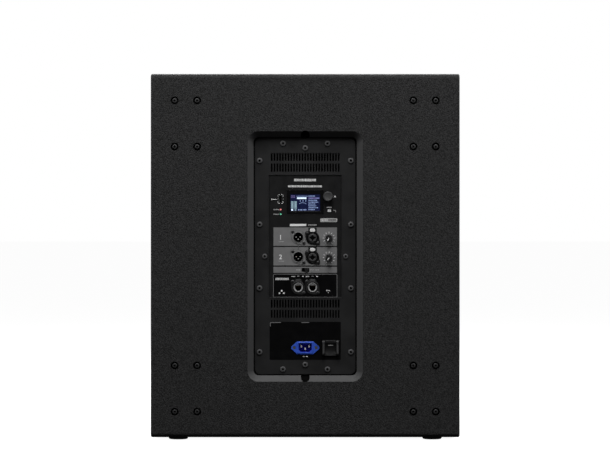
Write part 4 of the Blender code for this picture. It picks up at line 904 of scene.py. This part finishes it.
def make_print():
    """White, grey and dark print on the control panel: captions are bars, channels are numbers."""
    kinds = {kind: bmesh.new() for kind in ("white", "grey", "dark")}
    slide_v = MODE_SLIDER[1]
    usb_u, usb_v = USB
    (upper_u, upper_v), (lower_u, lower_v) = OUTPUTS
    for kind, base, captions in (
            ("white", CONTROL_FRONT, ((0.0, 139.9, 41.0, 4.6, 3), (0.0, 128.4, 63.0, 3.6, 5),
                                      (36.0, 66.3, 13.0, 3.6, 8), (44.2, 89.7, 9.0, 1.8, 17),
                                      (-42.5, -41.5, 24.0, 4.0, 61), (42.2, -62.8, 7.5, 1.8, 62))),
            ("grey", CONTROL_FRONT, ((13.2, 57.4, 15.0, 2.6, 7), (50.5, 66.3, 13.5, 3.6, 9),
                                     (-53.0, 85.7, 10.5, 2.0, 11), (-53.0, 77.2, 10.5, 2.0, 13))),
            ("grey", RAISED, ((-12.5, slide_v, 8.6, 1.9, 41), (12.3, slide_v, 7.0, 1.9, 42),
                              (21.5, slide_v, 7.0, 1.9, 43)))):
        for caption in captions:
            dashes(kinds, kind, *caption, base)
    for kind, base, bars in (
            ("white", CONTROL_FRONT, ((54.6, 109.0, 3.6, 1.6), (54.6, 110.6, 1.8, 1.6), (-56.5, usb_v - 0.5, 8.0, 0.9),
                                      (-43.2, -63.2, 2.8, 2.8), (-47.2, -67.6, 2.8, 2.8), (-39.2, -67.6, 2.8, 2.8))),
            ("grey", CONTROL_FRONT, ((53.6, 84.3, 3.6, 1.0), (55.8, 82.4, 1.0, 2.8))),
            ("dark", RAISED, ((upper_u, (upper_v + lower_v) / 2, 1.4, 9.0), (lower_u + 1.8, lower_v - 13.4, 1.4, 3.6),
                              (lower_u + 4.2, lower_v - 15.4, 9.0, 1.4)))):
        for place_and_size in bars:
            bar(*place_and_size, base, to=kinds[kind])
    for place_and_size, radius in (((-13.1, 57.4, 30.2, 4.2), 0.8), ((-61.0, usb_v - 0.5, 2.6, 2.6), 1.0),
                                   ((42.2, -66.6, 1.2, 1.2), 0.4)):
        bar(*place_and_size, radius=radius, to=kinds["white"])
    outline_ring(43.1, 66.3, 30.4, 6.4, 0.7, CONTROL_FRONT, PRINT, 1.0, to=kinds["white"])
    for side in (-1, 1):
        for level in (-1, 1):
            bar(usb_u + side * 4.6, usb_v + level * 5.8, 0.7, 3.2, to=kinds["white"])
            bar(usb_u + side * 2.6, usb_v + level * 8.2, 2.6, 0.7, to=kinds["white"])
        bar(usb_u + side * 4.6, usb_v, 0.7, 2.6, to=kinds["grey"])
    for index, (u, v) in enumerate(LEVELS):
        for step in range(11):
            tick(u, v, 10.2, 0.85, 3.2 if step in (0, 5, 10) else 2.7, -150 + 30 * step, RAISED, to=kinds["white"])
        number_v = OUTPUTS[index][1] - 0.4
        number(str(index + 1), -45.3, number_v, 8.8, RAISED, to=kinds["white"])
        dashes(kinds, "grey", u, v - 13.2, 9.5, 1.5, 21 + index, RAISED)
        dashes(kinds, "grey", -43.6, number_v - 7.4, 9.5, 1.5, 31 + index, RAISED)
    for index, (u, v) in enumerate(NETWORKS):
        dashes(kinds, "white", u - 9.0, -36.9, 7.0, 1.5, 51 + index)
        bar(u + 8.4, -36.9, 2.8, 1.7, to=kinds["white"])
        bar(u, -36.4, 3.4, 1.0, to=kinds["grey"])
    outline = outline_ring(0, NETWORK_BOX_V, STRIP_WIDTH + 1.2, 43.0, 0.9, CONTROL_FRONT, PRINT, 2.5)
    piece("network_outline", outline, "strip")
    field = bar(0, NETWORK_BOX_V, STRIP_WIDTH, 41.6, CONTROL_FRONT - 0.02, thickness=0.06)
    piece("network_field", field, "label", cuts=control_openings(CONTROL_FRONT - 1, CONTROL_FRONT + 2))
    for kind, bm in kinds.items():
        piece(f"print_{kind}", bm, f"print_{kind}")


def make_mains_label():
    """The black area round the mains parts, with its corner marks."""
    depths = (PANEL_FRONT - 2, PANEL_FRONT + 2)
    area = slab(0, (LABEL_TOP + LABEL_BOTTOM) / 2, LABEL_WIDTH, LABEL_TOP - LABEL_BOTTOM, PANEL_FRONT, LABEL_FRONT, 1.5)
    openings = slab(*INLET, *INLET_HOLE, *depths)
    slab(*SWITCH, *SWITCH_HOLE, *depths, to=openings)
    piece("mains_label", area, "label", cuts=[openings])
    left = -LABEL_WIDTH / 2
    marks = bar(left + 10.5, LABEL_TOP - 1.2, 20.0, 1.3, LABEL_FRONT)
    bar(left + 1.2, LABEL_TOP - 4.6, 1.3, 7.0, LABEL_FRONT, to=marks)
    bar(0.0, LABEL_TOP - 1.2, 14.5, 1.3, LABEL_FRONT, to=marks)
    piece("mains_marks", marks, "strip")
    dots = bmesh.new()
    for side in (-1, 1):
        bar(side * 3.1, INLET[1] - 16.0, 3.2, 1.3, LABEL_FRONT, to=dots)
    piece("mains_dots", dots, "print_white")


# ---- sockets
def socket_screws(name, places, ears):
    screws(name, "screw_black", [(-(u + across), CONTROL_FRONT + 0.9, AMP_Z + v + up) for u, v in places
                                 for across, up in ears],
           [(0.0, 0.0), (3.0, 0.0), (3.0, 0.2), (2.4, 0.7), (1.4, 1.0), (0.0, 1.1)], (1.3, 0.4, 3.0))


def make_flange(name, material, place, ears, radius, ear_radius, thickness, bore, bevel, hood=None, slot=None):
    """A round flange drawn out to an ear at each screw, with a bore, and a hood and slot for a push tab.

    hood and slot are a height over the place, a width, a height, how far they rise, and a corner radius.
    """
    u, v = place
    points = []
    for across, up, reach, count in [(0.0, 0.0, radius, 64)] + [(*ear, ear_radius, 24) for ear in ears]:
        for step in range(count):
            angle = 2 * math.pi * step / count
            points.append((across + reach * math.cos(angle), up + reach * math.sin(angle)))
    flange = prism([points[index] for index in convex_hull_2d(points)], RAISED, RAISED + thickness, place)
    cuts = [cylinder((-u, AMP_Z + v), bore, RAISED - 3, RAISED + OVERSHOOT, 48)]
    adds = []
    for solids, part, low_y in ((adds, hood, -0.1), (cuts, slot, -3)):
        if part:
            up, width, height, rise, corner = part
            solids.append(slab(u, v + up, width, height, RAISED + low_y, RAISED + rise, corner))
    piece(name, flange, material, adds=adds, cuts=cuts, bevel=bevel)


def turned(name, profile, origin, material, steps=56, closed=False, **options):
    """A piece turned about a socket's axis, with heights over the sockets' rear plane."""
    piece(name, lathe(profile, origin, steps=steps, closed=closed), material, **options)


def make_tab(kind, index, material, trim, corner, corner_steps, bevel, steps=2):
    """The push tab of a socket, on its own joint."""
    node = f"{kind}_latch_{index}"
    low, high = node_box(node)
    tab = block(low, (high.x, high.y - trim, high.z), corner, steps=corner_steps)
    piece(f"{kind}_tab_{index}", tab, material, f"{kind}_release_{index}", (node,), bevel=bevel, steps=steps)


def make_output_sockets():
    """Male line sockets: a grey eared flange with a thin painted shadow round it, and collar round a black cup with
    three pins.
    """
    ears = ((-10.0, 10.0), (10.0, -10.0))
    front = CONTROL_FRONT + 1.6 - SOCKET_REAR
    for index, (u, v) in enumerate(OUTPUTS, 1):
        x, z = -u, AMP_Z + v
        origin = (x, SOCKET_REAR, z)
        make_flange(f"output_flange_{index}", "strip", (u, v), ears, 12.2, 3.8, 0.7, 10.4, 0.25)
        # A slightly larger near-black eared ring under the flange: a painted shadow outline round it.
        make_flange(f"output_gasket_{index}", "print_dark", (u, v), ears, 12.9, 4.4, 0.12, 11.0, 0.0)
        collar = [(8.9, 20.0), (8.9, front - 0.6), (9.2, front), (9.8, front), (10.2, front - 0.5),
                  (10.3, front - 1.5), (10.3, 20.0)]
        turned(f"output_collar_{index}", collar, origin, "socket_grey", closed=True)
        cup = [(0.0, 16.0), (7.9, 16.0), (7.9, front - 0.9), (8.85, front - 0.9), (8.85, 19.5), (11.6, 19.5),
               (11.6, 0.0), (0.0, 0.0)]
        turned(f"output_cup_{index}", cup, origin, "label", replaces=(f"output_socket_{index}",))
        pins = bmesh.new()
        for across, up in ((-3.8, 0.4), (3.8, 0.4), (0.0, -3.7)):
            lathe([(0.0, 13.6), (0.6, 13.5), (1.1, 13.0), (1.25, 12.2), (1.25, 0.0), (0.0, 0.0)],
                  (x + across, OUTPUT_PIN_FLOOR, z + up), steps=20, to=pins)
        piece(f"output_pins_{index}", pins, "pin")
    socket_screws("output_screws", OUTPUTS, ears)


def make_input_sockets():
    """Combination sockets: black flange and ring, a bulging core with its contact holes, and a push tab."""
    ears = ((-10.1, 8.6), (9.9, -9.9))
    front = CONTROL_FRONT + 2.4 - SOCKET_REAR
    mouth = CONTROL_FRONT + OVERSHOOT
    for index, (u, v) in enumerate(INPUTS, 1):
        x, z = -u, AMP_Z + v
        origin = (x, SOCKET_REAR, z)
        make_flange(f"input_flange_{index}", "socket_black", (u, v), ears, 12.2, 3.9, 0.9, 10.5, 0.3,
                    (10.5, 15.2, 14.6, 1.2, 5.5), (13.9, 10.8, 7.2, OVERSHOOT, 3.3))
        shell = [(0.0, 10.0), (8.5, 10.0), (8.5, front - 1.0), (8.9, front - 0.3), (9.5, front),
                 (10.1, front - 0.5), (10.4, front - 2.0), (11.6, front - 2.6), (11.6, 0.0), (0.0, 0.0)]
        turned(f"input_shell_{index}", shell, origin, "label", replaces=(f"input_socket_{index}",))
        core = [(0.0, 14.0), (8.4, 14.0), (8.4, front - 3.6), (8.1, front - 2.2), (7.5, front - 1.2),
                (6.7, front - 0.7), (5.4, front - 0.9), (0.0, front - 1.0)]
        contacts = bmesh.new()
        for across, up, radius in ((-4.6, 0.3, 1.7), (4.6, 0.3, 1.7), (0.0, -4.4, 1.6), (0.0, 3.8, 1.2)):
            cylinder((x + across, z + up), radius, JACK_CONTACT_FLOOR, mouth, 20, to=contacts)
        turned(f"input_core_{index}", core, origin, "core_grey", bevel=0.2,
               cuts=[cylinder((x, z), 3.8, JACK_FLOOR, mouth), contacts])
        make_tab("input", index, "tab", 0.2, 3.0, 6, 0.6, 3)
    socket_screws("input_screws", INPUTS, ears)


def make_network_sockets():
    """Network sockets: dark eared flange, a bright dished face with a five-sided opening, and a push tab."""
    ears = ((-10.3, 10.6), (9.9, -9.9))
    front = CONTROL_FRONT + 1.2 - SOCKET_REAR
    mouth = CONTROL_FRONT + OVERSHOOT
    outline = [(5.8, 3.9), (-5.8, 3.9), (-5.8, -2.5), (-2.1, -6.7), (2.1, -6.7), (5.8, -2.5)]
    for index, (u, v) in enumerate(NETWORKS, 1):
        origin = (-u, SOCKET_REAR, AMP_Z + v)
        make_flange(f"network_flange_{index}", "black", (u, v), ears, 12.4, 3.5, 0.8, 8.8, 0.3,
                    (10.6, 15.0, 11.2, 1.0, 4.5), (13.3, 10.8, 4.4, OVERSHOOT, 1.6))
        rim = bmesh.new()
        for step in range(17):
            tick(u, v, 11.4, 1.3, 0.8, -48 + 6 * step, RAISED + 1.0, to=rim)
        piece(f"network_rim_{index}", rim, "print_dark")
        face = [(0.0, 17.0), (8.5, 17.0), (8.5, front - 0.5), (8.1, front), (7.6, front), (7.0, front - 0.7),
                (5.5, front - 1.2), (0.0, front - 1.4)]
        turned(f"network_face_{index}", face, origin, "face_grey", bevel=0.2,
               cuts=[prism(outline, NETWORK_FLOOR, mouth, (u, v))])
        turned(f"network_body_{index}", [(0.0, 0.0), (11.6, 0.0), (11.6, 29.5), (8.6, 29.5), (8.6, 16.8), (0.0, 16.8)],
               origin, "label", 48, replaces=(f"network_socket_{index}",))
        lining = prism(outline, NETWORK_FLOOR, SOCKET_REAR + front - 1.9, (u, v), 0.99)
        hollow = prism(outline, NETWORK_FLOOR + 1, mouth, (u, v), 0.92)
        piece(f"network_lining_{index}", lining, "label", cuts=[hollow])
        contacts = bmesh.new()
        for contact in range(8):
            slab(u + (contact - 3.5) * 1.02, v + 2.6, 0.5, 0.8, NETWORK_FLOOR + 2, CONTROL_FRONT - 5.0, to=contacts)
        piece(f"network_contacts_{index}", contacts, "gold")
        make_tab("network", index, "knob_grey", 0.3, 1.5, 4, 0.4)
    socket_screws("network_screws", NETWORKS, ears)


# ---- display, knobs and buttons
def make_display():
    """A gloss bezel round a lit screen, whose rows and meters are plain bars."""
    low, high = node_box("display_window")
    u, v = DISPLAY
    lit_width, lit_height = 54.4, 30.4
    lit_v = v - 0.6
    base = high.y - 0.5
    pocket = slab(u, lit_v, lit_width, lit_height, base, high.y + 2)
    piece("display_bezel", block(low, high, 1.5), "bezel", cuts=[pocket], bevel=0.3, replaces=("display_window",))
    screen = slab(u, lit_v, lit_width - 0.2, lit_height - 0.2, base, base + 0.1)
    piece("display_screen", screen, "screen")
    rows, meters, accents, highlights = kinds = [bmesh.new() for _ in range(4)]

    def lit(bm, across, up, width, height):
        slab(u + across, lit_v + up, width, height, base + 0.1, base + 0.18, to=bm)

    dice = random.Random(7)
    for row, up in enumerate((12.2, 4.4, 1.0, -2.4, -5.8, -9.2, -12.6)):
        across = 6.0
        while across < 17.0 + 3.0 * (row % 3):
            width = dice.uniform(1.0, 2.4)
            lit(rows, across + width / 2, up, width, 1.8)
            across += width + 0.6
    across = -12.0
    while across < 3.5:
        width = dice.uniform(1.2, 2.6)
        lit(rows, across, -13.0, width, 2.0)
        across += width + 0.7
    for values in ((accents, 16.0, 8.3, 20.0, 2.6), (rows, 10.5, 8.3, 7.0, 1.2), (rows, 22.5, 8.3, 6.5, 1.4),
                   (rows, -5.5, 12.0, 21.0, 0.9), (highlights, -6.5, 8.3, 17.0, 3.0),
                   (highlights, -24.0, -13.2, 3.4, 2.8), (meters, -17.8, -13.2, 3.4, 1.8)):
        lit(*values)
    for across in (-25.0, -22.4, -19.8):
        lit(accents, across, 12.3, 2.0, 1.8)
        lit(accents, across, 9.6, 1.8, 1.4)
    for across in (-23.6, -17.8):
        for step in range(6):
            lit(meters, across, 1.6 - 2.3 * step, 4.4, 1.9)
    for step in range(10):
        lit(rows, -10.5 + 1.3 * step, -0.09 * (step - 4.5) ** 2, 1.1, 1.0)
    for across in (-9.0, -4.0, 1.0):
        lit(rows, across, 3.4, 1.4, 2.6)
    for bm, name, material in zip(kinds, ("rows", "meters", "accents", "highlights"),
                                  ("text", "meter", "accent", "white")):
        piece(f"display_{name}", bm, f"screen_{material}")
    lip = outline_ring(u, v, 70.2, 46.2, 1.2, CONTROL_FRONT, 0.35, 2.0)
    piece("display_lip", lip, "control", bevel=0.15)


def make_leds():
    for name, v in LEDS.items():
        piece(name, lathe([(0.0, 1.1), (0.7, 0.95), (1.3, 0.5), (1.5, 0.0), (1.5, -0.5), (0.0, -0.5)],
                          (44.9, CONTROL_FRONT, AMP_Z + v), steps=24), name)


def make_knobs():
    base = CONTROL_FRONT + 1.0
    for index, (u, v) in enumerate(LEVELS, 1):
        body = f"level_control_{index}"
        low, high = node_box(f"level_knob_{index}")
        centre = (-u, AMP_Z + v)
        piece(f"level_cap_{index}", fluted(centre, 6.7, 5.7, base, high.y, 22, 0.45), "knob_black", body,
              adds=[cylinder(centre, 3.0, low.y, base + 1.0, 20)], replaces=(f"level_knob_{index}",), smooth=30)
        piece(f"level_pointer_{index}", tick(u, v, 2.6, 1.5, 5.6, -147, high.y, 0.1), "print_white", body)
    low, high = node_box("encoder_knob")
    top = high.y - low.y
    cap = lathe([(0.0, top - 1.0), (2.5, top - 0.9), (5.4, top - 0.6), (7.0, top - 0.1), (7.7, top), (8.3, top - 0.3),
                 (8.75, top - 1.2), (8.75, 0.6), (8.3, 0.0), (3.4, 0.0), (3.4, 5.0), (0.0, 5.0)],
                (-ENCODER[0], low.y, AMP_Z + ENCODER[1]), steps=56)
    piece("encoder_cap", cap, "knob_grey", "encoder_turn_knob", replaces=("encoder_knob",))
    low, high = node_box("home_button")
    piece("home_key_cap", block(low, high, 1.0, steps=4), "button", "home_key", replaces=("home_button",), bevel=0.4,
          steps=3)
    piece("home_key_mark", slab(*HOME_BUTTON, 0.5, 3.4, high.y - 0.02, high.y + 0.06), "print_dark", "home_key")


def make_mode_switch():
    low, high = node_box("mode_switch_slider")
    u, v = MODE_SLIDER
    piece("mode_switch_well", slab(MODE_SWITCH_U, v, 13.6, 6.9, *MODE_SWITCH_WELL), "label")
    grooves = bmesh.new()
    for across in (-1.6, 0.0, 1.6):
        slab(u + across, v, 0.7, 5.0, high.y - 0.6, high.y + 2, to=grooves)
    piece("mode_switch_cap", block(low, high, 0.5, steps=3), "knob_black", "mode_slider", cuts=[grooves],
          replaces=("mode_switch_slider",), bevel=0.2)


def make_usb():
    low, high = node_box("usb_port")
    u, v = USB
    cavity = slab(u, v, 4.7, 12.2, USB_FLOOR + 0.5, high.y + OVERSHOOT, 0.3)
    piece("usb_shell", block(low, high, 0.6, steps=3), "screw", cuts=[cavity], bevel=0.15, replaces=("usb_port",))
    piece("usb_tongue", slab(u - 0.9, v, 1.8, 10.5, USB_FLOOR, high.y - 1.2), "label", bevel=0.2)
    contacts = bmesh.new()
    for contact in range(4):
        slab(u + 0.05, v + (contact - 1.5) * 2.4, 0.12, 1.1, USB_FLOOR + 2.5, high.y - 2.0, to=contacts)
    piece("usb_contacts", contacts, "gold")


# ---- mains
def make_inlet():
    """A blue pointed flange round a cavity with three pins, held by two screws; the cavity's walls are lined in a
    darker blue as painted shade.
    """
    low, high = node_box("mains_inlet")
    u, v = INLET
    length, height = (high.x - low.x) / 2, (high.z - low.z) / 2
    shoulder, tip = 14.6, 2.0
    flange = prism([(length, tip), (shoulder, height), (-shoulder, height), (-length, tip), (-length, -tip),
                    (-shoulder, -height), (shoulder, -height), (length, -tip)], LABEL_FRONT, high.y - 0.7, INLET)
    half_width, half_height, corner = 12.2, 8.2, 4.0
    outline = [(half_width, half_height), (-half_width, half_height), (-half_width, corner - half_height),
               (corner - half_width, -half_height), (half_width - corner, -half_height),
               (half_width, corner - half_height)]
    cavity = prism(outline, high.y - 17.0, high.y + OVERSHOOT, INLET)
    ends = [(-u + side * 20.0, AMP_Z + v) for side in (-1, 1)]
    holes = bmesh.new()
    for centre in ends:
        cylinder(centre, 3.1, high.y - 1.5, high.y + 4, 24, to=holes)
    piece("inlet_flange", flange, "blue", adds=[slab(u, v, 29.2, 20.4, low.y, high.y, 2.5)], cuts=[cavity, holes],
          bevel=0.5, steps=3, replaces=("mains_inlet",))
    # A darker blue lining on the cavity's walls: painted shade.
    piece("inlet_cavity_shade", prism(outline, high.y - 16.9, high.y - 1.6, INLET, 0.985), "blue_painted_shade",
          cuts=[prism(outline, high.y - 16.0, high.y + OVERSHOOT, INLET, 0.93)])
    pins = bmesh.new()
    for across, up in ((-7.0, 2.3), (7.0, 2.3), (0.0, -2.1)):
        slab(u + across, v + up, 2.0, 4.0, high.y - 16.5, high.y - 2.5, 0.5, to=pins)
    piece("inlet_pins", pins, "tab", bevel=0.3)
    screws("inlet_screws", "screw", [(x, high.y - 1.6, z) for x, z in ends],
           [(0.0, 0.0), (2.9, 0.0), (2.6, 0.6), (0.0, 0.9)], (1.2, 0.4, 4.6))


def make_power_switch():
    """A frame with a guard on each side of the rocker; lighter grey bars on the guards and along the frame's top and
    bottom are painted highlights.
    """
    low, high = node_box("power_switch_frame")
    u, v = SWITCH
    front = PANEL_FRONT + 2.3
    guard_u = 12.8
    plate = slab(u, v, 30.8, 28.5, LABEL_FRONT, front, 1.5, steps=4)
    body = slab(u, v, 27.0, 25.0, low.y, front - 0.5)
    window = slab(u, v, 20.4, 23.6, SWITCH_FLOOR, front + 20, 0.5, steps=2)
    guards, faces = bmesh.new(), bmesh.new()
    for side in (-1, 1):
        slab(u + side * guard_u, v, 4.2, 27.4, front - 1, high.y, 3.0, axis=0, to=guards)
        # Grey bars on the guards and across the frame's top and bottom: painted highlights.
        bar(u + side * guard_u, v + 9.6, 3.2, 3.0, high.y - 0.35, 0.6, 0.4, to=faces)
        bar(u + side * guard_u, v - 1.5, 3.0, 17.0, high.y - 0.3, 0.6, 0.32, to=faces)
        bar(u, v + side * 13.0, 19.0, 1.5, front - 0.1, 0.5, 0.3, to=faces)
    piece("switch_frame", plate, "black", adds=[body, guards], cuts=[window], bevel=0.4,
          replaces=("power_switch_frame",))
    # The painted highlights of the frame and guards.
    piece("switch_painted_highlights", faces, "knob_grey")


def make_rocker():
    """The rocker's side view, drawn out along its pivot and tipped to its rest angle."""
    width = 19.8
    radius = 11.4
    half = 11.2
    steps = 14
    ups = [half - 2 * half * step / steps for step in range(1, steps)]
    outline = [(4.6, half)] + [(2.0 + 2.6 * (up / half) ** 2, up) for up in ups] + [(4.6, -half)]
    angles = [math.radians(-90 - 180 * step / steps) for step in range(steps + 1)]
    outline += [(radius * math.cos(angle), radius * math.sin(angle)) for angle in angles]
    bm = bmesh.new()
    verts = [bm.verts.new(Vector((-width / 2, forward, up)) * MM) for forward, up in outline]
    bmesh.ops.translate(bm, vec=Vector((width, 0, 0)) * MM, verts=raised(bm, [bm.faces.new(verts)]))
    pivot = Vector((-SWITCH[0], PANEL_FRONT, AMP_Z + SWITCH[1])) * MM
    turn = Matrix.Translation(pivot) @ Matrix.Rotation(math.radians(-8), 4, "X")
    bmesh.ops.transform(bm, matrix=turn, verts=bm.verts)
    piece("rocker_cap", bm, "black", "mains_rocker", replaces=("power_rocker",), bevel=0.35, smooth=30)
    mark = bmesh.new()
    matrix = turn @ Matrix.Translation(Vector((0, 2.66, 5.4)) * MM) @ Matrix.Rotation(math.radians(13.5), 4, "X")
    bmesh.ops.create_cube(mark, size=1.0, matrix=matrix @ Matrix.Diagonal((9.0 * MM, 0.16 * MM, 1.6 * MM, 1.0)))
    piece("rocker_mark", mark, "print_grey", "mains_rocker")


# ---- carried-over CAD nodes
# The mount frame's near-black is partly its black paint and partly painted shade in the gap round the amplifier panel.
CAD_MATERIALS = {
    "black_wood_and_shade": ("front_baffle", "amp_mount_frame", "port_shelf"), "plywood": ("window_brace",),
    "basket": ("woofer_basket",), "surround": ("woofer_surround",), "cone": ("woofer_cone", "woofer_dust_cap"),
    "coil": ("voice_coil",), "spider": ("woofer_spider",), "steel": ("magnet_top_plate", "magnet_back_plate"),
    "ferrite": ("magnet_ring",), "black": ("amp_enclosure", "display_module", "fan_frame", "fan_rotor"),
    "aluminium": ("heat_sink",), "circuit": ("amplifier_board", "input_board"), "nickel": ("encoder_shaft",),
    "cable": ("speaker_lead",),
}

make_stage()
make_camera()
for make in (make_cabinet, make_castor_screws, make_handles, make_pole_socket, make_feet, make_grille, make_foam,
             make_amp_panel, make_control_panel, make_print, make_mains_label, make_output_sockets,
             make_input_sockets, make_network_sockets, make_display, make_leds, make_knobs, make_mode_switch,
             make_usb, make_inlet, make_power_switch, make_rocker):
    make()
for cad_material, cad_nodes in CAD_MATERIALS.items():
    for cad_node in cad_nodes:
        paint(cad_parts[cad_node], cad_material)
